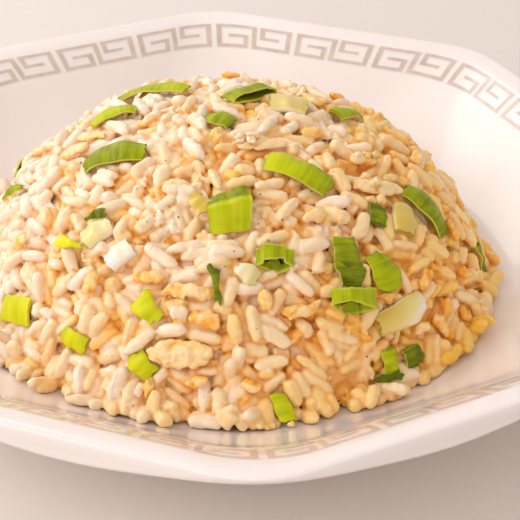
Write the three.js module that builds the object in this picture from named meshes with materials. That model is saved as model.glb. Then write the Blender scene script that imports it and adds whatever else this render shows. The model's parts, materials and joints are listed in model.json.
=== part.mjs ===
// A plate of fried rice: an octagonal porcelain plate, a domed mound of rice on it, and the
// pieces of scallion, leek and egg that lie in the mound's surface.
// Millimetres, +Z up. The origin is the middle of the foot ring, on the table.

import * as THREE from 'three';
import { ConvexHull } from 'three/addons/math/ConvexHull.js';

// ---- Plate ----

const PLATE_ACROSS = 215; // across two opposite flats of the rim
const PLATE_HEIGHT = 33;
const RIM = PLATE_ACROSS / 2;
const SIDES = 8;
const BAND_OUTER = RIM - 7; // outer line of the printed band
const BAND_INNER = BAND_OUTER - 7; // inner line of the printed band
const WELL = 66; // radius of the flat floor under the rice
const WELL_HEIGHT = 9.9;
const FOOT_OUTER = 58.6;
const FOOT_INNER = 55;

// Each ring of the plate: [apothem, height, corner radius]. A corner radius equal to the
// apothem makes the ring a circle.
const TOP_RINGS = [
  [30, WELL_HEIGHT - 1.1, 30],
  [56, WELL_HEIGHT - 0.6, 56],
  [WELL, WELL_HEIGHT, WELL],
  [70, 10.6, 70],
  [74, 11.9, 74],
  [78, 14.3, 72],
  [82, 17.3, 62],
  [87, 21.5, 48],
  [BAND_INNER, 27.1, 36],
  [BAND_OUTER, 31.5, 31],
  [RIM - 3.4, 32.7, 28],
  [RIM - 1.3, PLATE_HEIGHT, 26],
  [RIM - 0.25, 32.6, 26],
  [RIM, 31.4, 36],
];
const UNDER_RINGS = [
  [RIM - 0.1, 29.3, 60],
  [RIM - 0.3, 26.9, RIM - 0.3],
  [RIM - 1.9, 25.7, RIM - 1.9],
  [99, 23.2, 99],
  [89, 16.8, 89],
  [79, 9.8, 79],
  [71, 5.6, 71],
  [63, 4, 63],
  [FOOT_OUTER + 0.6, 3.3, FOOT_OUTER + 0.6],
  [FOOT_OUTER, 0, FOOT_OUTER],
  [FOOT_INNER, 0, FOOT_INNER],
  [FOOT_INNER - 0.8, 3.4, FOOT_INNER - 0.8],
  [30, 4.3, 30],
];
const FLOOR_CENTRE = WELL_HEIGHT - 1.2;
const BASE_CENTRE = 4.5;
// Where points stand along half a side, in degrees from its middle, closer at the corner.
const HALF_SIDE_STEPS = [0, 8, 15.5, 19.5];

// ---- Rice mound ----

const MOUND = {
  x: 0.9,
  y: -2.9,
  base: 9,
  radius: 64.5,
  height: 45.5,
  stretch: 0.8, // how much longer it is along stretchBearing, in degrees
  stretchBearing: 5.6,
};
// The mound widens at its foot, where grains have slid down, and most towards leanBearing.
const FLARE = { spread: 8.5, height: 11, lean: 0.33, leanBearing: -135 };
const MOUND_HEART = 16; // height above the mound's base from which its skin is spread out
const CORE_PASSES = 3; // steps that bring a point onto the flared core
const GAP = 0.3; // kept between pieces that touch
const GRAIN = { length: 8.3, width: 3.3, rise: 2.1 };
const GRAIN_TRIES = 42000;
const GRAIN_SPACING = 3.3; // between points of neighbouring grains
const DIP_TRIES = 30000;
const DIP_SPACING = 3;
const DIP_FROM_GRAIN = 2.3;
const CLEAR_OF_TOPPING = 3.1; // bare core left between a raised grain and a topping
const BARE_MARGIN = 0.8; // bare core past a topping's outline
const BARE_SPACING = 3.1;
const LOWEST_SKIN = 13.3; // below this height only the mound's base ring
const BASE_RAGGED = 1.2; // how far the base ring goes in and out

// ---- Toppings ----
// at: [bearing round the mound, climb from its edge (0) to its top (90)], in degrees.
// turn: degrees from lying round the mound (0) to pointing up it (90).
// size: [length, width, thickness]. crown: how far the middle arches up. fold: how far a crease
// along the middle stands up. lift: how far it lies above the core. tone: 0 pale to 1 dark.

const SCALLIONS = [
  { at: [154, 63], turn: -61, size: [20, 6, 1.9], crown: 1.2, tone: 0.6 },
  { at: [-177, 61], turn: -66, size: [12, 5.6, 1.8], crown: 1.2, tone: 0.5 },
  { at: [-137, 61], turn: 60, size: [16, 6.6, 1.9], crown: 1.5, tone: 0.85 },
  { at: [92, 78], turn: 58, size: [15, 6.4, 3.4], open: true, tone: 0.75 },
  { at: [-113, 86], turn: 10, size: [7, 5.4, 1.6], crown: 0.5, tone: 0.75 },
  { at: [-72, 57], turn: 4, size: [10, 12.4, 1.9], fold: 2.2, tone: 0.55 },
  { at: [-36, 65], turn: -58, size: [17, 6.6, 1.9], crown: 1.2, tone: 0.5 },
  { at: [40, 61], turn: -70, size: [9, 5, 1.6], crown: 0.6, tone: 0.7 },
  { at: [-2, 39], turn: 85, size: [15, 6, 1.8], crown: 1.4, tone: 0.95 },
  { at: [-20, 47], turn: 42, size: [5.6, 4.4, 1.5], crown: 0.4, tone: 0.9 },
  { at: [-59, 44], turn: -12, size: [7.6, 5.4, 4.2], open: true, tone: 1 },
  { at: [-38, 42], turn: 69, size: [7.6, 6.4, 1.7], crown: 0.9, tone: 0.9 },
  { at: [-30, 34], turn: 85, size: [9, 7.4, 1.8], crown: 1, tone: 0.55 },
  { at: [-42, 30], turn: -17, size: [10.2, 5.8, 4.6], open: true, tone: 1 },
  { at: [-91, 30], turn: -37, size: [7, 4.8, 1.8], crown: 0.8, tone: 0.35 },
  { at: [-126, 14], turn: 21, size: [11, 7, 1.8], crown: 0.8, tone: 0.3 },
  { at: [-107, 16], turn: -6, size: [7, 4.2, 1.6], crown: 0.5, tone: 0.2 },
  { at: [-90, 15], turn: -37, size: [6.4, 5, 1.6], crown: 0.6, tone: 0.25 },
  { at: [-61, 6], turn: -76, size: [7.6, 4.2, 1.6], lift: 1, tone: 0.3 },
  { at: [-30, 9.5], turn: 87, size: [5.4, 5.2, 1.7], crown: 0.8, tone: 0.9 },
  { at: [-36, 11], turn: 84, size: [6.6, 3.8, 1.7], crown: 0.6, tone: 0.45 },
  { at: [40, 12], turn: 20, size: [15, 6, 1.8], crown: 1.2, tone: 0.7 },
  { at: [60, 34], turn: -40, size: [9, 6, 1.8], crown: 0.8, tone: 0.4 },
  { at: [82, 34], turn: 35, size: [16, 6.4, 1.9], crown: 1.3, tone: 0.85 },
  { at: [101, 31], turn: 10, size: [10, 5.6, 4.2], open: true, tone: 0.95 },
  { at: [122, 36], turn: -30, size: [14, 6, 1.8], crown: 1.1, tone: 0.55 },
  { at: [130, 15], turn: 65, size: [9, 7, 1.8], crown: 0.9, tone: 0.35 },
  { at: [151, 26], turn: 40, size: [12, 6, 1.8], crown: 1, tone: 0.75 },
  { at: [172, 16], turn: -50, size: [8, 5.2, 4], open: true, tone: 0.9 },
];
const LEEKS = [
  { at: [46, 76], turn: 61, size: [9.6, 8, 2.6], crown: 0.6, tone: 0.4 },
  { at: [-13, 42], turn: 38, size: [8.2, 5.8, 2.4], crown: 0.5, tone: 0.3 },
  { at: [-114, 44], turn: 66, size: [7.6, 5.2, 2.4], crown: 0.5, tone: 0.6 },
  { at: [-103.5, 41], turn: 60, size: [6.8, 4.6, 2.2], crown: 0.4, tone: 0 },
  { at: [-30, 22], turn: 1, size: [15, 5.8, 2.4], crown: 1.4, tone: 0.25 },
  { at: [88, 15], turn: 20, size: [10, 6, 2.4], crown: 0.7, tone: 0.3 },
];
const EGGS = [
  { at: [-82, 20], turn: 5, size: [15.4, 6.8, 3.2], tone: 0.1 },
  { at: [-19, 12], turn: -62, size: [10.5, 4.4, 2.4], tone: 0.9 },
  { at: [-10, 9.5], turn: -81, size: [6.4, 4.2, 2.4], tone: 1 },
  { at: [-10, 52], turn: -42, size: [16, 4.6, 2.2], tone: 0.6 },
  { at: [-1, 59], turn: -39, size: [10, 4.6, 2.4], tone: 0.7 },
  { at: [10, 24], turn: 69, size: [12, 6.6, 2.6], tone: 0.4 },
  { at: [-82, 36], turn: 1, size: [13.4, 3.8, 2.2], tone: 0.6 },
  { at: [-77, 29.5], turn: -16, size: [8, 5, 2.2], tone: 0.85 },
  { at: [-42, 53], turn: -20, size: [6, 5, 3], tone: 0.5 },
  { at: [-25, 15.5], turn: -10, size: [6, 3.2, 2.2], tone: 0.5 },
  { at: [-54, 31], turn: 4, size: [11, 3.8, 2.2], tone: 0.7 },
  { at: [-45, 77], turn: -15, size: [14, 5.4, 1.6], tone: 0.05 },
  { at: [-163, 57], turn: 64, size: [11, 4.6, 2], tone: 0.15 },
  { at: [-93, 38], turn: 21, size: [8.6, 4.2, 2.2], tone: 0.8 },
  { at: [54, 67], turn: 25, size: [8, 5.4, 2.4], tone: 0.35 },
  { at: [52, 16], turn: 8, size: [12, 6, 2.8], tone: 0.4 },
  { at: [66, 50], turn: -60, size: [9.6, 5, 2.4], tone: 0.7 },
  { at: [106, 45], turn: 30, size: [13, 5.6, 2.4], tone: 0.3 },
  { at: [114, 20], turn: -20, size: [10.4, 5, 2.4], tone: 0.8 },
  { at: [146, 44], turn: 60, size: [8.6, 5.2, 2.6], tone: 0.5 },
  { at: [154, 10], turn: -15, size: [11, 5.6, 2.8], tone: 0.3 },
];

const SEED = 20407;

// ---- Shared helpers ----

const degrees = THREE.MathUtils.degToRad;

// Repeatable random numbers from 0 to 1.
function randomFrom(seed) {
  let state = seed >>> 0;
  return () => {
    state = (state + 0x6d2b79f5) >>> 0;
    let mixed = Math.imul(state ^ (state >>> 15), state | 1);
    mixed ^= mixed + Math.imul(mixed ^ (mixed >>> 7), mixed | 61);
    return ((mixed ^ (mixed >>> 14)) >>> 0) / 2 ** 32;
  };
}

function geometryOf(points, triangles) {
  const geometry = new THREE.BufferGeometry();
  const numbers = points.flatMap((p) => [p.x, p.y, p.z]);
  geometry.setAttribute('position', new THREE.Float32BufferAttribute(numbers, 3));
  geometry.setIndex(triangles.flat());
  geometry.computeVertexNormals();
  return geometry;
}

function mixed(pale, dark, tone) {
  return new THREE.Color(pale).lerp(new THREE.Color(dark), tone);
}

// ---- Plate ----

// Distance from the axis to an octagon with round corners. Its flats face 0, 45, 90... degrees.
function octagonReach(angle, apothem, corner) {
  const half = Math.PI / SIDES;
  const fromMiddle = Math.abs(((angle % (2 * half)) + 3 * half) % (2 * half) - half);
  const cornerCentre = (apothem - corner) / Math.cos(half);
  if (apothem * Math.tan(fromMiddle) <= (apothem - corner) * Math.tan(half)) {
    return apothem / Math.cos(fromMiddle);
  }
  const fromCorner = half - fromMiddle;
  return cornerCentre * Math.cos(fromCorner)
    + Math.sqrt(corner ** 2 - (cornerCentre * Math.sin(fromCorner)) ** 2);
}

function ringAngles() {
  const angles = [];
  for (let side = 0; side < SIDES; side += 1) {
    const middle = (side * 360) / SIDES;
    const before = HALF_SIDE_STEPS.slice(1).reverse().map((step) => middle - step);
    const after = HALF_SIDE_STEPS.map((step) => middle + step);
    angles.push(...before, ...after, middle + 180 / SIDES);
  }
  return angles.map(degrees);
}

function plateGeometry() {
  const angles = ringAngles();
  const rings = [...TOP_RINGS, ...UNDER_RINGS];
  const points = rings.flatMap(([apothem, height, corner]) => angles.map((angle) => {
    const reach = octagonReach(angle, apothem, corner);
    return new THREE.Vector3(reach * Math.cos(angle), reach * Math.sin(angle), height);
  }));
  const count = angles.length;
  const triangles = [];
  for (let ring = 0; ring + 1 < rings.length; ring += 1) {
    for (let i = 0; i < count; i += 1) {
      const next = (i + 1) % count;
      const [a, b] = [ring * count + i, ring * count + next];
      triangles.push([a, a + count, b + count], [a, b + count, b]);
    }
  }
  const floorCentre = points.push(new THREE.Vector3(0, 0, FLOOR_CENTRE)) - 1;
  const baseCentre = points.push(new THREE.Vector3(0, 0, BASE_CENTRE)) - 1;
  const lastRing = (rings.length - 1) * count;
  for (let i = 0; i < count; i += 1) {
    const next = (i + 1) % count;
    triangles.push([floorCentre, i, next], [baseCentre, lastRing + next, lastRing + i]);
  }
  return geometryOf(points, triangles);
}

// Height of the plate's round floor and lower wall at a distance from its axis.
function floorHeight(reach) {
  const profile = [[0, FLOOR_CENTRE], ...TOP_RINGS];
  const upper = profile.findIndex(([apothem]) => apothem >= reach);
  const [[r0, z0], [r1, z1]] = [profile[upper - 1] ?? profile[0], profile[upper]];
  return r1 === r0 ? z1 : z0 + ((reach - r0) / (r1 - r0)) * (z1 - z0);
}

// ---- Mound ----

// The bare core of the mound is half an ellipsoid, a little longer one way than the other, that
// flares at its foot.
function coreRadius(bearing, height = MOUND.base + FLARE.height) {
  const low = Math.max(0, 1 - (height - MOUND.base) / FLARE.height);
  const stretch = MOUND.stretch * Math.cos(2 * (bearing - degrees(MOUND.stretchBearing)));
  const lean = FLARE.lean * Math.cos(bearing - degrees(FLARE.leanBearing));
  return MOUND.radius + stretch + FLARE.spread * (1 + lean) * low * low;
}

// How far out a point is, where 1 is on the core's skin.
function coreLevel(point) {
  const [x, y, z] = [point.x - MOUND.x, point.y - MOUND.y, point.z - MOUND.base];
  return Math.hypot(Math.hypot(x, y) / coreRadius(Math.atan2(y, x), point.z), z / MOUND.height);
}

function coreNormal(point) {
  const step = 0.01;
  const slope = (axis) => {
    const [ahead, behind] = [point.clone(), point.clone()];
    ahead[axis] += step;
    behind[axis] -= step;
    return coreLevel(ahead) - coreLevel(behind);
  };
  return new THREE.Vector3(slope('x'), slope('y'), slope('z')).normalize();
}

// The point of the core's skin under a point near it, raised along the skin's normal.
function onCore(point, rise = 0) {
  const middle = new THREE.Vector3(MOUND.x, MOUND.y, MOUND.base);
  const skin = point.clone();
  for (let pass = 0; pass < CORE_PASSES; pass += 1) {
    const level = coreLevel(skin);
    skin.sub(middle).divideScalar(level).add(middle);
  }
  return rise ? skin.addScaledVector(coreNormal(skin), rise) : skin;
}

// A place on the core, with its axes: along and across a piece that lies there, and out.
function seat({ at: [bearing, climb], turn }) {
  const [around, up] = [degrees(bearing), degrees(climb)];
  const reach = coreRadius(around) * Math.cos(up);
  const point = new THREE.Vector3(
    MOUND.x + reach * Math.cos(around),
    MOUND.y + reach * Math.sin(around),
    MOUND.base + MOUND.height * Math.sin(up),
  );
  point.copy(onCore(point));
  const out = coreNormal(point);
  const round = new THREE.Vector3(-Math.sin(around), Math.cos(around), 0);
  round.addScaledVector(out, -round.dot(out)).normalize();
  const along = round.applyAxisAngle(out, degrees(turn));
  const across = new THREE.Vector3().crossVectors(out, along);
  return { point, along, across, out };
}

// Maps a piece's own coordinates, in millimetres, to the place where it lies on the core.
function layer(piece) {
  const { point, along, across } = seat(piece);
  return (u, v, rise) => {
    const flat = point.clone().addScaledVector(along, u).addScaledVector(across, v);
    return onCore(flat, rise);
  };
}

// A random place on the core, over all of it.
function anywhere(random) {
  const bearing = 2 * Math.PI * random();
  const climb = Math.asin(random());
  const reach = coreRadius(bearing) * Math.cos(climb);
  return onCore(new THREE.Vector3(
    MOUND.x + reach * Math.cos(bearing),
    MOUND.y + reach * Math.sin(bearing),
    MOUND.base + MOUND.height * Math.sin(climb),
  ));
}

function liftedClearOfPlate(point) {
  const reach = Math.hypot(point.x, point.y);
  point.z = Math.max(point.z, floorHeight(reach) + 2 * GAP);
  return point;
}

// How far a point is outside the outline that a topping covers; negative is inside.
function outsideTopping(point, covered) {
  const offset = point.clone().sub(covered.seat.point);
  if (offset.length() > covered.halfLength + covered.halfWidth + 2 * CLEAR_OF_TOPPING) {
    return Infinity;
  }
  const u = Math.abs(offset.dot(covered.seat.along)) - covered.halfLength;
  const v = Math.abs(offset.dot(covered.seat.across)) - covered.halfWidth;
  return Math.max(u, v);
}

// Points of bare core in a grid under each topping and just round its outline.
function barePoints(covered) {
  const points = [];
  for (const { piece, halfLength, halfWidth } of covered) {
    const place = layer(piece);
    const columns = Math.max(2, Math.round((2 * (halfLength + BARE_MARGIN)) / BARE_SPACING));
    const rows = Math.max(2, Math.round((2 * (halfWidth + BARE_MARGIN)) / BARE_SPACING));
    for (let i = 0; i <= columns; i += 1) {
      for (let j = 0; j <= rows; j += 1) {
        const u = ((2 * i) / columns - 1) * (halfLength + BARE_MARGIN);
        const v = ((2 * j) / rows - 1) * (halfWidth + BARE_MARGIN);
        const point = place(u, v, 0);
        const isNew = points.every((other) => other.distanceTo(point) > 0.55 * BARE_SPACING);
        if (isNew) points.push(point);
      }
    }
  }
  return points;
}

// The rice grains that show, as ridges on the core: two raised points for each grain, turned
// every way and spread evenly, with dips between them. Near a topping the core stays bare.
function moundSkin(covered) {
  const random = randomFrom(SEED);
  const ridgeHalf = 0.27 * GRAIN.length;
  const grains = [];
  const skin = barePoints(covered).filter((point) => point.z > LOWEST_SKIN);
  for (let i = 0; i < GRAIN_TRIES; i += 1) {
    const middle = anywhere(random);
    const out = coreNormal(middle);
    const side = new THREE.Vector3(random() - 0.5, random() - 0.5, random() - 0.5);
    const along = side.cross(out).normalize();
    const ends = [-ridgeHalf, ridgeHalf].map((u) => onCore(middle.clone().addScaledVector(along, u)));
    const isLow = ends.some((end) => end.z < LOWEST_SKIN);
    const places = [...ends, middle];
    const isCrowded = grains.some((other) => other.middle.distanceTo(middle) < GRAIN.length
      && other.places.some((a) => places.some((b) => a.distanceTo(b) < GRAIN_SPACING)));
    const isCovered = covered.some((topping) => places.some(
      (point) => outsideTopping(point, topping) < CLEAR_OF_TOPPING,
    ));
    if (!isLow && !isCrowded && !isCovered) grains.push({ middle, ends, places });
  }
  const dips = [...skin];
  for (let i = 0; i < DIP_TRIES; i += 1) {
    const point = anywhere(random);
    const isLow = point.z < LOWEST_SKIN;
    const isCrowded = dips.some((other) => other.distanceTo(point) < DIP_SPACING);
    const isOnGrain = grains.some(({ places }) => places.some(
      (other) => other.distanceTo(point) < DIP_FROM_GRAIN,
    ));
    if (!isLow && !isCrowded && !isOnGrain) dips.push(point);
  }
  const ridges = grains.flatMap(({ ends }) => ends.map(
    (end) => liftedClearOfPlate(onCore(end, GRAIN.rise * (0.8 + 0.4 * random()))),
  ));
  return [...ridges, ...dips];
}

// Points under the mound, just above the plate's floor.
function moundBase() {
  const points = [];
  const rings = [[1, 130], [0.85, 60], [0.6, 24], [0.3, 10]];
  for (const [share, count] of rings) {
    for (let i = 0; i < count; i += 1) {
      const bearing = (2 * Math.PI * i) / count;
      const ragged = BASE_RAGGED * Math.sin(i * i) * (share === 1 ? 1 : 0);
      const reach = coreRadius(bearing, WELL_HEIGHT + GRAIN.width / 2) * share + ragged;
      const x = MOUND.x + reach * Math.cos(bearing);
      const y = MOUND.y + reach * Math.sin(bearing);
      const point = new THREE.Vector3(x, y, floorHeight(Math.hypot(x, y)) + 1.5 * GAP);
      points.push(point);
    }
  }
  points.push(new THREE.Vector3(MOUND.x, MOUND.y, FLOOR_CENTRE + 1.5 * GAP));
  return points;
}

// The mound is seen whole from its heart, so the hull of its points' directions, on a unit
// sphere, says which of them join in triangles.
function moundGeometry(covered) {
  const heart = new THREE.Vector3(MOUND.x, MOUND.y, MOUND.base + MOUND_HEART);
  const points = [...moundSkin(covered), ...moundBase()];
  const directions = points.map((point) => point.clone().sub(heart).normalize());
  const indexOf = new Map(directions.map((direction, index) => [direction, index]));
  const hull = new ConvexHull().setFromPoints(directions);
  const triangles = hull.faces.map((face) => {
    const corners = [face.edge, face.edge.next, face.edge.next.next];
    return corners.map((edge) => indexOf.get(edge.head().point));
  });
  return geometryOf(points, triangles);
}

// ---- Toppings ----

// A closed slab on the core: a grid whose corners are rounded by `round`, from 0 to 1, between
// two heights given for each place in it, with s and t from -1 to 1.
function slabGeometry(piece, { columns, rows, round, low, high, outline = () => 1 }) {
  const place = layer(piece);
  const [length, width] = piece.size;
  const node = (i, j, height) => {
    const [s, t] = [(2 * i) / columns - 1, (2 * j) / rows - 1];
    const grow = outline(s, t);
    const u = (length / 2) * s * Math.sqrt(1 - 0.5 * round * t * t) * grow;
    const v = (width / 2) * t * Math.sqrt(1 - 0.5 * round * s * s) * grow;
    return liftedClearOfPlate(place(u, v, height(s, t)));
  };
  const points = [];
  for (const height of [low, high]) {
    for (let i = 0; i <= columns; i += 1) {
      for (let j = 0; j <= rows; j += 1) points.push(node(i, j, height));
    }
  }
  const top = (columns + 1) * (rows + 1);
  const at = (i, j) => i * (rows + 1) + j;
  const triangles = [];
  for (let i = 0; i < columns; i += 1) {
    for (let j = 0; j < rows; j += 1) {
      const [a, b, c, d] = [at(i, j), at(i + 1, j), at(i + 1, j + 1), at(i, j + 1)];
      triangles.push([a, c, b], [a, d, c], [top + a, top + b, top + c], [top + a, top + c, top + d]);
    }
  }
  const edge = [];
  for (let i = 0; i < columns; i += 1) edge.push(at(i, 0));
  for (let j = 0; j < rows; j += 1) edge.push(at(columns, j));
  for (let i = columns; i > 0; i -= 1) edge.push(at(i, rows));
  for (let j = rows; j > 0; j -= 1) edge.push(at(0, j));
  edge.forEach((a, k) => {
    const b = edge[(k + 1) % edge.length];
    triangles.push([a, b, top + b], [a, top + b, top + a]);
  });
  return geometryOf(points, triangles);
}

// A slice of scallion leaf pressed flat: a strip that arches or folds along its middle.
function leafGeometry(piece) {
  const [, , thick] = piece.size;
  const { crown = 0, fold = 0, lift = 0 } = piece;
  const low = (s, t) => GAP + lift + crown * (1 - s * s) + fold * (1 - Math.abs(t));
  return slabGeometry(piece, {
    columns: 6,
    rows: 2,
    round: 0.22,
    low,
    high: (s, t) => low(s, t) + thick * (1 - 0.12 * t * t),
  });
}

// A slice of scallion leaf that still stands open: a flattened tube with its hole across.
function tubeGeometry(piece) {
  const [length, width, height] = piece.size;
  const place = layer(piece);
  const wall = 0.9;
  const around = 14;
  const loops = [
    { a: length / 2, b: height / 2, v: -width / 2 },
    { a: length / 2, b: height / 2, v: width / 2 },
    { a: length / 2 - wall, b: height / 2 - wall, v: width / 2 },
    { a: length / 2 - wall, b: height / 2 - wall, v: -width / 2 },
  ];
  const points = loops.flatMap(({ a, b, v }) => Array.from({ length: around }, (_, i) => {
    const angle = (2 * Math.PI * i) / around;
    return liftedClearOfPlate(place(a * Math.cos(angle), v, GAP + height / 2 + b * Math.sin(angle)));
  }));
  const triangles = [];
  for (let loop = 0; loop < loops.length; loop += 1) {
    const next = (loop + 1) % loops.length;
    for (let i = 0; i < around; i += 1) {
      const j = (i + 1) % around;
      const [a, b] = [loop * around + i, loop * around + j];
      const [c, d] = [next * around + j, next * around + i];
      triangles.push([a, d, c], [a, c, b]);
    }
  }
  return geometryOf(points, triangles);
}

// A piece of scrambled egg: a lump with a lobed outline and an uneven top.
function eggGeometry(piece, index) {
  const random = randomFrom(SEED + index);
  const [, , thick] = piece.size;
  const phases = [random(), random(), random()].map((share) => 2 * Math.PI * share);
  const lobes = (s, t) => {
    const angle = Math.atan2(t, s);
    return 0.88 + 0.08 * Math.sin(3 * angle + phases[0]) + 0.04 * Math.sin(5 * angle + phases[1]);
  };
  const swell = (s, t) => {
    const dome = 0.5 * (1 - s * s) * (1 - t * t);
    return 0.35 + dome + 0.13 * Math.sin(4 * s + 3 * t + phases[2]);
  };
  return slabGeometry(piece, {
    columns: 5,
    rows: 3,
    round: 0.85,
    outline: lobes,
    low: () => GAP,
    high: (s, t) => GAP + thick * swell(s, t),
  });
}

// ---- The object ----

const group = new THREE.Group();

function add(name, geometry, color, roughness) {
  const material = new THREE.MeshStandardMaterial({ color, roughness, metalness: 0 });
  const mesh = new THREE.Mesh(geometry, material);
  mesh.name = name;
  group.add(mesh);
}

function numbered(kind, index) {
  return `${kind}_${String(index + 1).padStart(2, '0')}`;
}

const covered = [...SCALLIONS, ...LEEKS, ...EGGS].map((piece) => ({
  piece,
  seat: seat(piece),
  halfLength: piece.size[0] / 2,
  halfWidth: piece.size[1] / 2,
}));

add('plate', plateGeometry(), 0xf6efec, 0.12);
add('rice_mound', moundGeometry(covered), 0xefd9b4, 0.4);
SCALLIONS.forEach((piece, index) => {
  const geometry = piece.open ? tubeGeometry(piece) : leafGeometry(piece);
  add(numbered('scallion', index), geometry, mixed(0xc3cf4a, 0x3f7d18, piece.tone), 0.4);
});
LEEKS.forEach((piece, index) => {
  add(numbered('leek', index), leafGeometry(piece), mixed(0xf6efe2, 0xc2d38a, piece.tone), 0.4);
});
EGGS.forEach((piece, index) => {
  add(numbered('egg', index), eggGeometry(piece, index), mixed(0xf5d58c, 0xe39a3c, piece.tone), 0.5);
});

export default group;
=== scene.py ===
"""A plate of fried rice: an octagonal porcelain plate with a printed key border, a domed mound of
rice grains and egg crumbs, and the slices of scallion, leek and egg that lie in it.

Lengths in the code are millimetres, because food and tableware are measured that way. They become
metres where a mesh is made.
"""

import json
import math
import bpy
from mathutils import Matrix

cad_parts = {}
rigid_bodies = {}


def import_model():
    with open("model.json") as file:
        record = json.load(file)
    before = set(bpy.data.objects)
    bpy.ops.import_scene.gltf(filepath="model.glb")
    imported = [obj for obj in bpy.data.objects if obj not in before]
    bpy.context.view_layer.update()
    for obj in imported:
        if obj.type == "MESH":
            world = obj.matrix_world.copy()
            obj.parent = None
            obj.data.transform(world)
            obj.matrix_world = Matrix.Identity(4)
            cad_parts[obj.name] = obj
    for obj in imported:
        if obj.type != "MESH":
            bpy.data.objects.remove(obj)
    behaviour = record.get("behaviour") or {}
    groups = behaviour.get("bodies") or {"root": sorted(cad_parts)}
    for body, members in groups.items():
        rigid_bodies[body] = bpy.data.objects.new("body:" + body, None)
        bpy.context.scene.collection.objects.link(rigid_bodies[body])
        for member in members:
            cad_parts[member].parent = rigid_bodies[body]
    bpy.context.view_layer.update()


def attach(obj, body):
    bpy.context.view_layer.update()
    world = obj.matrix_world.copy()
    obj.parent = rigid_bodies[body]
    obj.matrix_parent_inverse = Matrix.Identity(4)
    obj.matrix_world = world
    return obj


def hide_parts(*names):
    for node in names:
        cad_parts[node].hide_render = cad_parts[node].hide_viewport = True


bl_info = {
    "name": "Fried Rice Plate",
    "version": (1, 0, 0),
    "blender": (4, 5, 0),
    "location": "View3D > Sidebar > Fried Rice",
    "description": "Builds a plate of fried rice from named sizes and colours",
    "category": "Add Mesh",
}

import bpy
import numpy as np
from mathutils import Matrix, Vector, noise
from mathutils.bvhtree import BVHTree
from mathutils.kdtree import KDTree

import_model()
MM = 0.001

# ---------------------------------------------------------------------------------------------
# Sizes of the plate and of the mound's bare core
# ---------------------------------------------------------------------------------------------

SIDES = 8
RIM = 107.5
BAND_OUTER = RIM - 7
BAND_INNER = BAND_OUTER - 7
WELL = 66.0
WELL_HEIGHT = 9.9
FLOOR_CENTRE, UNDER_CENTRE = 8.7, 4.5  # heights of the plate's middle, above and below
FOOT_OUTER = 58.6
FOOT_INNER = 55.0
# Each ring of the plate: apothem, height, corner radius. A corner radius equal to the apothem
# makes the ring a circle.
TOP_RINGS = [
    (30, 8.8, 30), (56, 9.3, 56), (WELL, WELL_HEIGHT, WELL), (70, 10.6, 70), (74, 11.9, 74),
    (78, 14.3, 72), (82, 17.3, 62), (87, 21.5, 48), (BAND_INNER, 27.1, 36), (BAND_OUTER, 31.5, 31),
    (RIM - 3.4, 32.7, 28), (RIM - 1.3, 33.0, 26), (RIM - 0.25, 32.6, 26), (RIM, 31.4, 36),
]
UNDER_RINGS = [
    (RIM - 0.1, 29.3, 60), (RIM - 0.3, 26.9, RIM - 0.3), (RIM - 1.9, 25.7, RIM - 1.9),
    (99, 23.2, 99), (89, 16.8, 89), (79, 9.8, 79), (71, 5.6, 71), (63, 4, 63),
]
# The foot ring, whose edges are worn a little round.
FOOT_RINGS = [
    (FOOT_OUTER + 0.6, 3.3, FOOT_OUTER + 0.6), (FOOT_OUTER + 0.05, 0.4, FOOT_OUTER + 0.05),
    (FOOT_OUTER - 0.35, 0, FOOT_OUTER - 0.35), (FOOT_INNER + 0.35, 0, FOOT_INNER + 0.35),
    (FOOT_INNER - 0.05, 0.4, FOOT_INNER - 0.05), (FOOT_INNER - 0.8, 3.4, FOOT_INNER - 0.8),
    (30, 4.3, 30), (4, 4.5, 4),
]

MOUND_X, MOUND_Y, MOUND_BASE = 0.9, -2.9, 9.0
MOUND_RADIUS, MOUND_HEIGHT = 64.5, 45.5
MOUND_STRETCH, STRETCH_BEARING = 0.8, math.radians(5.6)
FLARE_SPREAD, FLARE_HEIGHT = 8.5, 11.0
FLARE_LEAN, LEAN_BEARING = 0.33, math.radians(-135)
GAP = 0.3  # between a topping and the rice or plate under it
TOP = 57.5  # nothing stands higher than this

# ---------------------------------------------------------------------------------------------
# Toppings. bearing: round the mound, and climb: from its edge (0) to its top (90), in degrees.
# turn: degrees from lying round the mound (0) to pointing up it (90).
# size: length, width, thickness. tone: 0 pale to 1 dark, of a leaf at its two ends.
# ---------------------------------------------------------------------------------------------


def topping(bearing, climb, turn, size, tone, **more):
    """One topping. more changes how far it is lifted, arched (crown), folded, torn or curled."""
    plain = dict(
        lift=0, crown=0, taper=0, skew=0, slant=(0, 0), tear=0.15, fold=0, curl=0, grade=0, crumple=1,
        open=False, soft=False)
    return dict(plain, at=(bearing, climb), turn=turn, size=size, tone=tone, **more)


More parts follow.
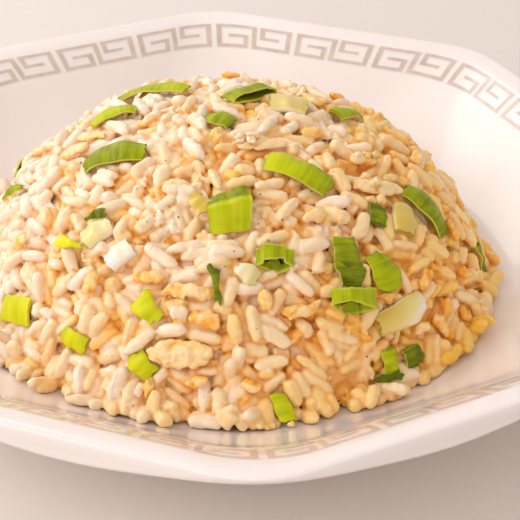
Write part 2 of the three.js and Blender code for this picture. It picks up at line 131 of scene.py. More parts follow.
SCALLIONS = [
    topping(154, 63, -61, (20, 6, 1.9), (0.5, 0.75), crown=1.2, taper=-0.12),
    topping(-177, 61, -66, (12, 5.6, 1.8), (0.55, 0.4), crown=1.2),
    topping(-137, 61, 60, (16, 6.6, 1.9), (0.85, 0.7), crown=1.5),
    topping(92, 78, 58, (15, 6.4, 3.4), (0.75, 0.55), open=True),
    topping(-113, 86, 10, (7, 5.4, 1.6), (0.65, 0.8), crown=0.5),
    topping(-72, 57, 4, (10, 11.4, 1.9), (0.38, 0.42), fold=2.2, slant=(0.5, 1.6), tear=0.1),
    topping(-36, 65, -58, (17, 6.6, 1.9), (0.3, 0.72), crown=1.2),
    topping(40, 61, -70, (9, 5, 1.6), (0.6, 0.75), crown=0.6),
    topping(-2, 39, 85, (15, 6, 1.8), (0.85, 0.75), crown=1.4),
    topping(-20, 47, 42, (5.6, 4.4, 1.5), (0.9, 0.9), crown=0.4),
    topping(-59, 44, -12, (7.4, 5.4, 3.9), (0.66, 0.62), open=True, crumple=1.35),
    topping(-38, 42, 69, (7.6, 6.4, 1.7), (0.9, 0.75), crown=0.9, taper=-0.18, tear=0.28),
    topping(-30, 34, 85, (9, 7.0, 1.8), (0.52, 0.66), crown=1.0, skew=0.7, tear=0.3),
    topping(-42, 30, -17, (10.2, 5.8, 4.4), (0.56, 0.58), open=True, crumple=1.15),
    topping(-91, 30, -37, (7, 4.8, 1.8), (0.15, 0.35), crown=1.1, taper=-0.15, tear=0.4),
    topping(-126, 14, 21, (11, 7, 1.8), (0.35, 0.15), crown=0.8),
    topping(-107, 16, -6, (7, 4.2, 1.6), (0.25, 0.3), crown=0.5),
    topping(-90, 15, -37, (6.4, 5, 1.6), (0.25, 0.4), crown=0.9, tear=0.3),
    topping(-61, 6, -76, (7.6, 3.8, 1.6), (0.45, 0.35), lift=1.0, skew=0.4),
    topping(-30, 9.5, 87, (5.4, 5.2, 1.7), (1.0, 0.85), crown=0.8),
    topping(-36, 11, 84, (6.6, 3.8, 1.7), (0.45, 0.6), crown=0.6),
    topping(40, 12, 20, (15, 6, 1.8), (0.7, 0.5), crown=1.2),
    topping(60, 34, -40, (9, 6, 1.8), (0.4, 0.5), crown=0.8),
    topping(82, 34, 35, (16, 6.4, 1.9), (0.85, 0.6), crown=1.3),
    topping(101, 31, 10, (10, 5.6, 4.2), (0.95, 0.9), open=True),
    topping(122, 36, -30, (14, 6, 1.8), (0.55, 0.4), crown=1.1),
    topping(130, 15, 65, (9, 7, 1.8), (0.35, 0.5), crown=0.9),
    topping(151, 26, 40, (12, 6, 1.8), (0.75, 0.6), crown=1.0),
    topping(172, 16, -50, (8, 5.2, 4), (0.9, 0.8), open=True),
]
LEEKS = [
    topping(46, 76, 61, (9.6, 8, 2.6), (0.7, 0.5), crown=0.6),
    topping(-13, 42, 38, (8.2, 5.8, 2.4), (0.95, 0.8), crown=0.5),
    topping(-114, 44, 66, (7.6, 5.2, 2.4), (0.5, 0.3), crown=0.5),
    topping(-103.5, 41, 60, (6.8, 4.6, 2.2), (0.0, 0.1), crown=0.4),
    topping(-30, 22, 1, (15, 5.8, 2.4), (1.0, 0.0), crown=1.4, grade=-35, taper=0.12, curl=-0.6),
    topping(88, 15, 20, (10, 6, 2.4), (0.4, 0.2), crown=0.7),
]
EGGS = [
    topping(-82, 20, 5, (15.4, 6.8, 3.2), 0.22),
    topping(-19, 12, -62, (10.5, 4.4, 2.4), 0.8),
    topping(-10, 9.5, -81, (6.4, 4.2, 2.4), 1.0),
    topping(-10, 52, -42, (16, 4.6, 2.2), 0.3),
    topping(-1, 59, -39, (10, 4.6, 2.4), 0.45),
    topping(10, 24, 69, (12, 6.6, 2.6), 0.5),
    topping(-82, 36, 1, (13.4, 3.8, 2.2), 0.5),
    topping(-77, 29.5, -16, (8, 5, 2.2), 0.8),
    topping(-42, 53, -20, (6, 5, 3), 0.45),
    topping(-25, 15.5, -10, (6, 3.2, 2.2), 0.5),
    topping(-54, 31, 4, (11, 3.8, 2.2), 0.65),
    topping(-45, 77, -15, (14, 5.4, 1.6), 0.0),
    topping(-163, 57, 64, (11, 4.6, 2), 0.05),
    topping(-93, 38, 21, (8.6, 4.2, 2.2), 0.8),
    topping(54, 67, 25, (8, 5.4, 2.4), 0.35),
    topping(52, 16, 8, (12, 6, 2.8), 0.4),
    topping(66, 50, -60, (9.6, 5, 2.4), 0.7),
    topping(106, 45, 30, (13, 5.6, 2.4), 0.3),
    topping(114, 20, -20, (10.4, 5, 2.4), 0.8),
    topping(146, 44, 60, (8.6, 5.2, 2.6), 0.5),
    topping(154, 10, -15, (11, 5.6, 2.8), 0.3),
]
# Scraps of egg and of leaf too small to be parts of their own.
EGG_SCRAPS = [
    topping(-63, 34, 88, (5.4, 4.1, 2.6), 0.75, lift=1.0),
    topping(-107, 32, -76, (6.2, 4.1, 2.4), 0.7, lift=0.9),
    topping(-67, 12, -23, (5.6, 4.0, 2.4), 0.6, lift=0.9),
    topping(-78, 13, 12, (5.8, 3.6, 2.2), 0.5, lift=0.9),
    topping(-154, 53, 82, (8.6, 4.6, 2.2), 0.2, lift=0.8),
    topping(-20, 27, 20, (6.4, 3.6, 2.4), 0.9, lift=1.0),
    topping(-5, 20, -40, (5.6, 3.8, 2.4), 0.95, lift=1.0),
    topping(0, 30, 70, (6.6, 3.4, 2.4), 0.85, lift=1.0),
    topping(-135, 30, 15, (6.0, 3.6, 2.2), 0.3, lift=0.9),
    topping(20, 45, -30, (6.4, 3.8, 2.4), 0.6, lift=0.9),
    topping(110, 62, 25, (6.2, 3.8, 2.2), 0.5, lift=0.9),
    topping(-170, 40, 60, (6.4, 3.6, 2.2), 0.2, lift=0.9),
]
LEAF_SCRAPS = [
    topping(-117, 47, 48, (4.8, 2.2, 1.2), (1.0, 0.9), crown=0.5, lift=1.6, taper=0.4, tear=0.3),
    topping(-119, 38, 17, (7.9, 2.2, 1.0), (0.0, 0.2), crown=0.9, lift=1.6, taper=-0.3, tear=0.3),
    topping(-75, 38, -81, (8, 1.9, 1.1), (1.0, 0.85), crown=0.6, lift=1.3, taper=-0.45, skew=0.6, tear=0.45),
    topping(-84, 58, -36, (5.7, 4, 1.2), (0.9, 1.0), crown=0.3, lift=1.2, taper=0.3, tear=0.3, soft=True),
    topping(-38, 7, -9, (7.2, 2.2, 1.2), (1.0, 1.0), crown=0.5, lift=1.3, taper=0.4, tear=0.4),
    topping(-67, 41, -35, (5.8, 3.8, 1.2), (0.2, 0.45), crown=1.0, lift=0.7, taper=0.2, tear=0.3, soft=True),
    topping(8, 14, 65, (7.4, 2.6, 1.2), (0.9, 0.8), crown=0.5, lift=1.3, taper=0.3, tear=0.4),
    topping(-156, 33, 60, (8, 2.6, 1.2), (0.8, 0.7), crown=0.5, lift=1.3, taper=-0.3, tear=0.4),
    topping(-40, 36, 69, (5.4, 6.2, 1.4), (1.0, 0.8), crown=1.0, lift=0.8, taper=0.2, skew=0.5, tear=0.5),
]


# ---------------------------------------------------------------------------------------------
# User's sizes and colours
# ---------------------------------------------------------------------------------------------


def linear(hex_colour):
    """Turns an sRGB hex colour into linear red, green, blue."""
    values = [int(hex_colour[i:i + 2], 16) / 255 for i in (1, 3, 5)]
    return tuple(v / 12.92 if v <= 0.04045 else ((v + 0.055) / 1.055) ** 2.4 for v in values)


def colour_property(name, description, hex_colour):
    return bpy.props.FloatVectorProperty(
        name=name, description=description, default=linear(hex_colour), subtype="COLOR", min=0, max=1)


def length_property(name, description, millimetres):
    return bpy.props.FloatProperty(name=name, description=description, default=millimetres * MM, unit="LENGTH")


def angle_property(name, description, degrees):
    return bpy.props.FloatProperty(
        name=name, description=description, default=math.radians(degrees), subtype="ANGLE")


def share_property(name, description, share, least=0, most=1):
    return bpy.props.FloatProperty(name=name, description=description, default=share, min=least, max=most)


def count_property(name, description, count, least, most):
    return bpy.props.IntProperty(name=name, description=description, default=count, min=least, max=most)


class PlateSettings(bpy.types.PropertyGroup):
    glaze: colour_property("Glaze", "Colour of the glazed porcelain", "#f8f0ed")
    print_ink: colour_property("Print", "Colour of the printed border under the glaze", "#d2c1b6")
    segments: count_property("Points Around", "Points along each side of the octagon", 48, 24, 160)
    bar_width: length_property("Upright Bar", "Width of the key border's upright bars", 1.8)
    rail_width: length_property("Level Bar", "Width of the key border's level bars", 1.2)


class RiceSettings(bpy.types.PropertyGroup):
    grain_length: length_property("Grain Length", "Length of a whole cooked grain", 8.1)
    grain_width: length_property("Grain Width", "Width of a whole cooked grain", 3.4)
    grains: count_property("Grains", "Grains laid on the mound's core", 2050, 200, 2600)
    foot_grains: count_property("Foot Grains", "Grains that have slid down to the plate", 290, 0, 400)
    crumbs: count_property("Egg Crumbs", "Small crumbs of egg among the grains", 150, 0, 900)
    bits: count_property("Rice Bits", "Broken bits of grain that stick on top", 260, 0, 900)
    upper_share: share_property("Upper Share", "Share of the grains that rest on the others", 0.4)
    packing: share_property(
        "Packing", "How near grains press together, as a share of their width", 0.345, 0.3, 0.5)
    pressed: length_property("Pressed", "Grains whose middle lies lower than this stick in the skin", 1.55)
    skin_grid: length_property("Skin Grid", "Fineness of the skin of stuck grains", 0.31)
    skin_triangles: count_property(
        "Skin Triangles", "Most triangles in the skin of stuck grains", 620000, 100000, 2000000)
    pale: colour_property("Pale Rice", "Colour of a plain steamed grain", "#fde6d2")
    golden: colour_property("Golden Rice", "Colour of a grain fried in egg and oil", "#fccc56")
    film: colour_property("Egg Film", "Colour of a grain that is coated in egg", "#f8bc4c")
    # The crease colour stands for egg and oil between grains, and also paints the shade there.
    crease: colour_property("Crease", "Colour of the egg and oil between grains", "#f3ac22")
    crease_share: share_property("Crease Strength", "How strongly the creases are coloured", 1.0)
    seed: bpy.props.IntProperty(name="Seed", description="Seed of the grains' places", default=20407)


class ToppingSettings(bpy.types.PropertyGroup):
    leaf_pale: colour_property("Young Leaf", "Colour of the palest green leaf", "#e6e11c")
    leaf_dark: colour_property("Old Leaf", "Colour of the darkest green leaf", "#5e6a00")
    leaf_flesh: colour_property("Leaf Flesh", "Colour of a cut edge of leaf", "#d9d75c")
    egg_pale: colour_property("Pale Egg", "Colour of the palest egg", "#fedca6")
    egg_dark: colour_property("Browned Egg", "Colour of well fried egg", "#f2a41a")
    leaf_thickness: length_property("Leaf Thickness", "Thickness of a slice of leaf", 0.55)


class StageSettings(bpy.types.PropertyGroup):
    floor_colour: colour_property("Floor", "Colour of the plain floor", "#e6dfd8")
    lens: bpy.props.FloatProperty(
        name="Lens", description="Focal length of the camera", default=99.07, unit="CAMERA")
    azimuth: angle_property("Azimuth", "Camera's bearing from the plate's front", 17.58)
    elevation: angle_property("Elevation", "Camera's height angle", 33.3)
    roll: angle_property("Roll", "Camera's turn about its own axis", 1.19)
    distance: length_property("Distance", "From the camera to its target", 348.3)
    key_power: bpy.props.FloatProperty(
        name="Key Light", description="Power of the large soft light", default=3.15, unit="POWER")


# ---------------------------------------------------------------------------------------------
# Shapes of the plate and the mound
# ---------------------------------------------------------------------------------------------


def ring_point(share, apothem, corner):
    """Points on an octagon with round corners. share runs round it, 0 to 1, by length along each side."""
    apothem, corner = np.asarray(apothem, float), np.asarray(corner, float)
    half = math.pi / SIDES
    side = np.floor(share * SIDES + 0.5)
    along = share * SIDES - side
    flat = (apothem - corner) * math.tan(half)
    length = 2 * flat + 2 * corner * half
    distance = np.abs(along) * length
    angle = np.where(distance > flat, (distance - flat) / np.maximum(corner, 1e-6), 0.0)
    x = np.where(distance > flat, apothem - corner + corner * np.cos(angle), apothem)
    y = np.where(distance > flat, flat + corner * np.sin(angle), distance) * np.sign(along)
    turn = 2 * half * side
    return x * np.cos(turn) - y * np.sin(turn), x * np.sin(turn) + y * np.cos(turn)


def smooth_rings(rings, steps):
    """Adds rings between the given ones on a smooth curve through them."""
    rings = np.array(rings, float)
    padded = np.vstack([2 * rings[0] - rings[1], rings, 2 * rings[-1] - rings[-2]])
    knots = np.concatenate([[0], np.cumsum(np.linalg.norm(np.diff(padded[:, :2], axis=0), axis=1) ** 0.5)])
    result = [rings[0]]
    for i in range(1, len(padded) - 2):
        p0, p1, p2, p3 = padded[i - 1:i + 3]
        t0, t1, t2, t3 = knots[i - 1:i + 3]
        for step in range(1, steps + 1):
            t = t1 + (t2 - t1) * step / steps
            a1 = (t1 - t) / (t1 - t0) * p0 + (t - t0) / (t1 - t0) * p1
            a2 = (t2 - t) / (t2 - t1) * p1 + (t - t1) / (t2 - t1) * p2
            a3 = (t3 - t) / (t3 - t2) * p2 + (t - t2) / (t3 - t2) * p3
            b1 = (t2 - t) / (t2 - t0) * a1 + (t - t0) / (t2 - t0) * a2
            b2 = (t3 - t) / (t3 - t1) * a2 + (t - t1) / (t3 - t1) * a3
            result.append((t2 - t) / (t2 - t1) * b1 + (t - t1) / (t2 - t1) * b2)
    return np.array(result)


TOP_PROFILE = smooth_rings([(4, FLOOR_CENTRE, 4)] + TOP_RINGS + UNDER_RINGS, 6)


def floor_height(reach):
    """Height of the plate's round floor and lower wall at a distance from its axis."""
    inner = TOP_PROFILE[:int(np.argmax(TOP_PROFILE[:, 0]))]
    return np.interp(reach, inner[:, 0], inner[:, 1])


def core_radius(bearing, height):
    low = np.maximum(0, 1 - (height - MOUND_BASE) / FLARE_HEIGHT)
    stretch = MOUND_STRETCH * np.cos(2 * (bearing - STRETCH_BEARING))
    lean = FLARE_LEAN * np.cos(bearing - LEAN_BEARING)
    return MOUND_RADIUS + stretch + FLARE_SPREAD * (1 + lean) * low * low


def core_level(points):
    """How far out points are, where 1 is on the core's skin."""
    x, y, z = points[..., 0] - MOUND_X, points[..., 1] - MOUND_Y, points[..., 2]
    across = np.hypot(x, y) / core_radius(np.arctan2(y, x), z)
    return np.hypot(across, (z - MOUND_BASE) / MOUND_HEIGHT)


def core_slope(points):
    step = 0.01
    slopes = [core_level(points + step * axis) - core_level(points - step * axis) for axis in np.eye(3)]
    return np.stack(slopes, axis=-1) / (2 * step)


def core_normal(points):
    slope = core_slope(points)
    return slope / np.linalg.norm(slope, axis=-1, keepdims=True)


def above_core(points):
    """Height of points above the core's skin, negative below it."""
    return (core_level(points) - 1) / np.linalg.norm(core_slope(points), axis=-1)


def on_core(points, rise=0.0):
    """The points of the core's skin under points near it, raised along its normal."""
    middle = np.array([MOUND_X, MOUND_Y, MOUND_BASE])
    skin = np.array(points, float)
    for _ in range(3):
        skin = middle + (skin - middle) / core_level(skin)[..., None]
    return skin + core_normal(skin) * np.asarray(rise)[..., None]


def core_place(bearing, climb):
    """Points of the core's skin at bearings and climbs in radians."""
    reach = core_radius(bearing, MOUND_BASE + FLARE_HEIGHT) * np.cos(climb)
    return on_core(np.stack([
        MOUND_X + reach * np.cos(bearing), MOUND_Y + reach * np.sin(bearing),
        MOUND_BASE + MOUND_HEIGHT * np.sin(climb)], axis=-1))


def seat(piece):
    """Where a topping lies on the core: its middle, and the ways along, across and out."""
    bearing, climb = (math.radians(value) for value in piece["at"])
    point = core_place(np.array(bearing), np.array(climb))
    out = core_normal(point)
    around = np.array([-math.sin(bearing), math.cos(bearing), 0.0])
    around -= around.dot(out) * out
    around /= np.linalg.norm(around)
    turn = math.radians(piece["turn"])
    along = around * math.cos(turn) + np.cross(out, around) * math.sin(turn)
    return point, along, np.cross(out, along), out


def laid(piece, u, v, rise):
    """Points of a topping from its own coordinates: along, across and above the core."""
    point, along, across, _ = seat(piece)
    u, v, rise = np.broadcast_arrays(u, v, rise)
    flat = point + u[..., None] * along + v[..., None] * across
    points = on_core(flat, rise)
    reach = np.hypot(points[..., 0], points[..., 1])
    points[..., 2] = np.clip(points[..., 2], floor_height(reach) + 2 * GAP, TOP)
    return points


# ---------------------------------------------------------------------------------------------
# Meshes
# ---------------------------------------------------------------------------------------------


def fill_mesh(mesh, points, faces):
    """Fills a mesh from points and from arrays of faces, one array for each number of corners."""
    faces = [np.asarray(group, np.int32) for group in faces if len(group)]
    corners = np.concatenate([group.ravel() for group in faces])
    sizes = np.concatenate([np.full(len(group), group.shape[1]) for group in faces])
    mesh.vertices.add(len(points))
    mesh.vertices.foreach_set("co", np.asarray(points, np.float32).ravel())
    mesh.loops.add(len(corners))
    mesh.loops.foreach_set("vertex_index", corners)
    mesh.polygons.add(len(sizes))
    mesh.polygons.foreach_set("loop_start", np.concatenate([[0], np.cumsum(sizes)[:-1]]).astype(np.int32))
    mesh.polygons.foreach_set("use_smooth", np.ones(len(sizes), bool))
    mesh.update(calc_edges=True)


def make_piece(name, points, faces, material, nodes=(), attributes=None, uv=None):
    """Makes a smooth shaded piece that rides on the part and stands for the given nodes."""
    mesh = bpy.data.meshes.new(name)
    points = np.array(points)
    points[:, 2] = np.minimum(points[:, 2], TOP)
    fill_mesh(mesh, points * MM, faces)
    for key, values in (attributes or {}).items():
        attribute = mesh.attributes.new(key, "FLOAT", "POINT")
        attribute.data.foreach_set("value", np.asarray(values, np.float32).ravel())
    if uv is not None:
        corners = np.empty(len(mesh.loops), np.int32)
        mesh.loops.foreach_get("vertex_index", corners)
        layer = mesh.uv_layers.new(name="Leaf")
        layer.data.foreach_set("uv", (np.asarray(uv)[corners] * MM).astype(np.float32).ravel())
    mesh.materials.append(material)
    mesh.validate()
    piece = bpy.data.objects.new(name, mesh)
    bpy.context.scene.collection.objects.link(piece)
    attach(piece, "root")
    if nodes:
        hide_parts(*nodes)
    return piece


def fused(points, faces, grid, smoothing):
    """Melts closed solids that overlap into one skin on a fine grid, and smooths it. Returns its
    points and its four cornered faces."""
    mesh = bpy.data.meshes.new("fused")
    fill_mesh(mesh, points, faces)
    piece = bpy.data.objects.new("fused", mesh)
    bpy.context.scene.collection.objects.link(piece)
    melt = piece.modifiers.new("melt", "REMESH")
    melt.mode, melt.voxel_size, melt.adaptivity = "VOXEL", grid, 0
    soften = piece.modifiers.new("soften", "SMOOTH")
    soften.factor, soften.iterations = 0.5, smoothing
    return modified(piece, 4)


def thinned(points, faces, most):
    """Joins small faces where a surface is flat, until no more than a number of triangles is left."""
    mesh = bpy.data.meshes.new("thinned")
    fill_mesh(mesh, points, [faces])
    piece = bpy.data.objects.new("thinned", mesh)
    bpy.context.scene.collection.objects.link(piece)
    collapse = piece.modifiers.new("collapse", "DECIMATE")
    collapse.ratio = min(1.0, most / (len(faces) * (faces.shape[1] - 2)))
    triangulate = piece.modifiers.new("triangulate", "TRIANGULATE")
    triangulate.quad_method = "SHORTEST_DIAGONAL"
    return modified(piece, 3)


def modified(piece, corners_each):
    """The points and faces of a helper object after its modifiers. The helper is removed."""
    skin = piece.evaluated_get(bpy.context.evaluated_depsgraph_get()).to_mesh()
    points = np.empty(len(skin.vertices) * 3, np.float32)
    skin.vertices.foreach_get("co", points)
    corners = np.empty(len(skin.loops), np.int32)
    skin.loops.foreach_get("vertex_index", corners)
    mesh = piece.data
    bpy.data.objects.remove(piece)
    bpy.data.meshes.remove(mesh)
    return points.reshape(-1, 3).astype(float), corners.reshape(-1, corners_each)


def kept_faces(points, faces, keep):
    """The faces that are kept, with only the points that they use, and which points those are."""
    faces = faces[keep]
    used, flat = np.unique(faces, return_inverse=True)
    return points[used], flat.reshape(-1, faces.shape[1]), used


def round_grid_faces(rings, around, first, last):
    """Faces of a closed solid of rings between two end points."""
    i = np.arange(around)
    j = (i + 1) % around
    row = (rings - 1) * around
    ends = np.vstack([
        np.stack([np.full(around, first), j, i], axis=-1),
        np.stack([np.full(around, last), row + i, row + j], axis=-1)])
    return tube_faces(rings, around), ends


def tube_faces(rings, around, start=0):
    """Quads of a grid of rings that closes round each ring."""
    i, j = np.meshgrid(np.arange(rings - 1), np.arange(around), indexing="ij")
    a = start + i * around + j
    b = start + i * around + (j + 1) % around
    return np.stack([a, b, b + around, a + around], axis=-1).reshape(-1, 4)


def numbered(kind, index):
    return f"{kind}_{index + 1:02d}"


# ---------------------------------------------------------------------------------------------
# Materials
# ---------------------------------------------------------------------------------------------


def add_node(tree, kind, settings=None, inputs=None):
    """Adds a node, sets its properties and ramp stops, and sets or links its input sockets."""
    node = tree.nodes.new(kind)
    for key, value in (settings or {}).items():
        if key == "stops":
            ramp = node.color_ramp
            while len(ramp.elements) < len(value):
                ramp.elements.new(0.5)
            for element, (position, colour) in zip(ramp.elements, value):
                element.position = position
                element.color = (*colour, 1)
        else:
            setattr(node, key, value)
    for key, value in (inputs or {}).items():
        if isinstance(value, bpy.types.NodeSocket):
            tree.links.new(value, node.inputs[key])
        else:
            node.inputs[key].default_value = value
    return node


def new_material(name):
    material = bpy.data.materials.new(name)
    material.use_nodes = True
    material.node_tree.nodes.clear()
    return material, material.node_tree


def rgba(colour):
    return (*colour, 1.0)


def shaded(colour, factor):
    return tuple(min(1.0, channel * factor) for channel in colour)


def place_in(tree):
    return add_node(tree, "ShaderNodeTexCoord").outputs["Object"]


def value_in(tree, name):
    """The value that the mesh holds for each point under a name."""
    return add_node(tree, "ShaderNodeAttribute", {"attribute_name": name}).outputs["Fac"]


def clouds_in(tree, place, scale, detail=2.0, roughness=0.5):
    return add_node(tree, "ShaderNodeTexNoise", {}, {
        "Vector": place, "Scale": scale, "Detail": detail, "Roughness": roughness}).outputs[0]


def veins_in(tree, spacing, distortion, detail, detail_scale):
    """Bands along a leaf or stem, a spacing in millimetres apart."""
    leaf = add_node(tree, "ShaderNodeUVMap", {"uv_map": "Leaf"}).outputs["UV"]
    veins = add_node(tree, "ShaderNodeTexWave", {"wave_type": "BANDS", "bands_direction": "X"}, {
        "Vector": leaf, "Scale": BAND_SCALE / (spacing * MM), "Distortion": distortion, "Detail": detail,
        "Detail Scale": detail_scale})
    return leaf, veins.outputs["Fac"]


def maths(tree, operation, *values, clamp=False):
    return add_node(
        tree, "ShaderNodeMath", {"operation": operation, "use_clamp": clamp}, dict(enumerate(values))).outputs[0]


def centred(tree, value, strength):
    """A value of 0 to 1 that now runs as far below 0 as above it."""
    return maths(tree, "MULTIPLY_ADD", value, strength, -strength / 2)


def ranged(tree, value, start, end):
    return add_node(tree, "ShaderNodeMapRange", {}, {
        0: value, 1: start[0], 2: start[1], 3: end[0], 4: end[1]}).outputs[0]


def ramp(tree, value, *stops):
    """A colour that runs through stops, each a position and a colour."""
    return add_node(tree, "ShaderNodeValToRGB", {"stops": stops}, {"Fac": value}).outputs[0]


def blend(tree, share, first, second):
    """A mix of two colours, each a socket or red, green, blue."""
    first, second = (
        value if isinstance(value, bpy.types.NodeSocket) else rgba(value) for value in (first, second))
    return add_node(tree, "ShaderNodeMix", {"data_type": "RGBA"}, {0: share, 6: first, 7: second}).outputs[2]


def bumped(tree, height, strength, distance):
    return add_node(tree, "ShaderNodeBump", {}, {
        "Strength": strength, "Distance": distance * MM, "Height": height}).outputs[0]


def finish_material(tree, **inputs):
    """Adds the surface shader and the output. Names use _ for a space."""
    values = {key.replace("_", " "): value for key, value in inputs.items()}
    shader = add_node(tree, "ShaderNodeBsdfPrincipled", {}, values)
    add_node(tree, "ShaderNodeOutputMaterial", {}, {"Surface": shader.outputs[0]})


BAND_SCALE = 0.314  # of a wave texture whose bands are a unit apart
# The clear glaze over the body and over the print.
GLAZE = dict(IOR=1.5, Coat_Weight=0.7, Coat_Roughness=0.06, Subsurface_Weight=0.12, Subsurface_Scale=1.5 * MM)


def glazed_porcelain(settings):
    """White porcelain, jiggered and dipped in clear glaze: a warm white body that glows a little
    under a smooth glassy coat, with the faint waviness of fired glaze. The foot is wiped bare."""
    material, tree = new_material("jiggered_porcelain_clear_glaze")
    place = place_in(tree)
    # Clouding of the body over about 40 mm.
    body = ramp(
        tree, clouds_in(tree, place, 25.0), (0.35, shaded(settings.glaze, 0.965)), (0.65, tuple(settings.glaze)))
    height = add_node(tree, "ShaderNodeSeparateXYZ", {}, {"Vector": place}).outputs["Z"]
    bare = maths(tree, "LESS_THAN", height, 0.35 * MM)
    # Glaze ripples of about 9 mm, a few hundredths of a millimetre high.
    ripples = clouds_in(tree, place, 110.0, 1.0)
    finish_material(
        tree, Base_Color=blend(tree, bare, body, linear("#d9c4ae")),
        Roughness=ranged(tree, bare, (0, 1), (0.22, 0.85)), Normal=bumped(tree, ripples, 0.12, 0.05), **GLAZE)
    return material


def underglaze_print(settings, glaze):
    """Grey oxide printed on the biscuit and fired under the clear glaze: a soft edged matt grey
    below the same glassy coat as the plate."""
    material, tree = new_material("grey_oxide_underglaze_print")
    # Uneven oxide, with clouds of about 4 mm.
    oxide = ramp(
        tree, clouds_in(tree, place_in(tree), 260.0, 3.0),
        (0.3, shaded(settings.print_ink, 0.9)), (0.7, shaded(settings.print_ink, 1.1)))
    finish_material(
        tree, Base_Color=blend(tree, value_in(tree, "ink"), glaze, oxide), Roughness=0.22, **GLAZE)
    return material


def cooked_rice(settings):
    """Steamed short grain rice turned in hot egg and oil: milky and see-through at once, so light
    spreads inside a grain, under a thin wet film of oil. The creases are coloured golden and brown, partly
    by egg and oil gathered there and partly as painted shade between the grains."""
    material, tree = new_material("steamed_rice_fried_in_egg")
    place = place_in(tree)
    # Smears of egg and oil about 2 mm across, on grains 8 mm long.
    smears = centred(tree, clouds_in(tree, place, 420.0, 3.0, 0.6), 0.5)
    tone = maths(tree, "ADD", value_in(tree, "tone"), smears, clamp=True)
    between = tuple(0.55 * p + 0.45 * g for p, g in zip(settings.pale, settings.golden))
    skin = ramp(tree, tone, (0.0, tuple(settings.pale)), (0.45, between), (1.0, tuple(settings.golden)))
    egg = ramp(tree, tone, (0.0, linear("#fbcd78")), (0.5, tuple(settings.film)), (1.0, linear("#f0aa2a")))
    coated = blend(tree, value_in(tree, "film"), skin, egg)
    # It has run together in some places, about 12 mm across, and left others nearly clean.
    pools = ranged(tree, clouds_in(tree, place, 85.0), (0.38, 0.62), (0.45, 1.0))
    gathered = maths(tree, "MULTIPLY", pools, settings.crease_share)
    # The crease value, stronger where egg and oil have pooled, colours the creases: egg and oil, and painted
    # shade where grains meet and lie low.
    crease_oil_and_shade = maths(tree, "MULTIPLY", value_in(tree, "crease"), gathered)
    oil = ramp(tree, tone, (0.0, linear("#f8be4c")), (0.4, tuple(settings.crease)), (1.0, linear("#d08a08")))
    greased_and_shaded = blend(tree, crease_oil_and_shade, coated, oil)
    # Painted shade in the very bottom of the deepest creases, dark brown, with some browned oil.
    deep_crease_shade = ranged(tree, crease_oil_and_shade, (0.72, 1.0), (0.0, 0.42))
    # Fine swollen texture of the skin, about 0.5 mm.
    swollen = clouds_in(tree, place, 800.0, 3.0)
    finish_material(
        tree, Base_Color=blend(tree, deep_crease_shade, greased_and_shaded, linear("#a86408")), Roughness=0.34, IOR=1.4,
        Normal=bumped(tree, swollen, 0.6, 0.22), Subsurface_Weight=0.9, Subsurface_Radius=(0.95, 1.0, 0.85),
        Subsurface_Scale=0.85 * MM, Specular_IOR_Level=0.45, Coat_Weight=0.3, Coat_Roughness=0.12)
    return material


def scrambled_egg(settings):
    """Egg beaten, fried and broken up: soft and moist, pale where it set last and brown orange where it
    touched the pan, with an oily skin. The tone given by each piece also darkens its folds and low sides as
    painted shade."""
    material, tree = new_material("pan_fried_egg_curds")
    place = place_in(tree)
    # Browning in patches of about 4 mm.
    browning = centred(tree, clouds_in(tree, place, 300.0, 3.0, 0.55), 0.36)
    tone = maths(tree, "ADD", value_in(tree, "tone"), browning, clamp=True)
    colour = ramp(
        tree, tone, (0.0, tuple(settings.egg_pale)), (0.35, linear("#fdd084")), (0.7, linear("#f8bb54")),
        (1.0, tuple(settings.egg_dark)))
    # Curds of about 1 mm.
    curds = clouds_in(tree, place, 900.0, 3.0)
    finish_material(
        tree, Base_Color=colour, Roughness=0.4, IOR=1.4, Normal=bumped(tree, curds, 0.55, 0.3),
        Subsurface_Weight=0.6, Subsurface_Radius=(1.0, 0.7, 0.3), Subsurface_Scale=1.0 * MM,
        Coat_Weight=0.25, Coat_Roughness=0.2)
    return material


def scallion_leaf(settings):
    """Green onion leaf cut across and wilted in the pan: waxy, with fine raised veins along the
    stalk, light coming through it, and pale juicy flesh at each cut."""
    material, tree = new_material("wilted_scallion_leaf")
    # Veins 0.55 mm apart, along the stalk.
    leaf, veins = veins_in(tree, 0.55, 1.2, 1.0, 0.4)
    # Bruises and paler patches of about 4 mm.
    patches = centred(tree, clouds_in(tree, place_in(tree), 260.0, 3.0), 0.44)
    # Lighter and darker streaks along the veins, about 1 mm wide and 8 mm long.
    stretched = add_node(tree, "ShaderNodeMapping", {}, {"Vector": leaf, "Scale": (1.0, 0.12, 1.0)}).outputs[0]
    streaks = centred(tree, clouds_in(tree, stretched, 900.0), 0.5)
    streaked = maths(tree, "ADD", centred(tree, veins, 0.06), streaks)
    tone = maths(tree, "ADD", maths(tree, "ADD", value_in(tree, "tone"), streaked), patches, clamp=True)
    green = ramp(
        tree, tone, (0.0, tuple(settings.leaf_pale)), (0.5, linear("#b8c302")), (1.0, tuple(settings.leaf_dark)))
    finish_material(
        tree, Base_Color=blend(tree, value_in(tree, "cut"), green, settings.leaf_flesh), Roughness=0.38, IOR=1.36,
        Normal=bumped(tree, veins, 0.18, 0.1), Subsurface_Weight=0.25, Subsurface_Radius=(0.8, 1.0, 0.1),
        Subsurface_Scale=0.6 * MM, Specular_IOR_Level=0.3)
    return material


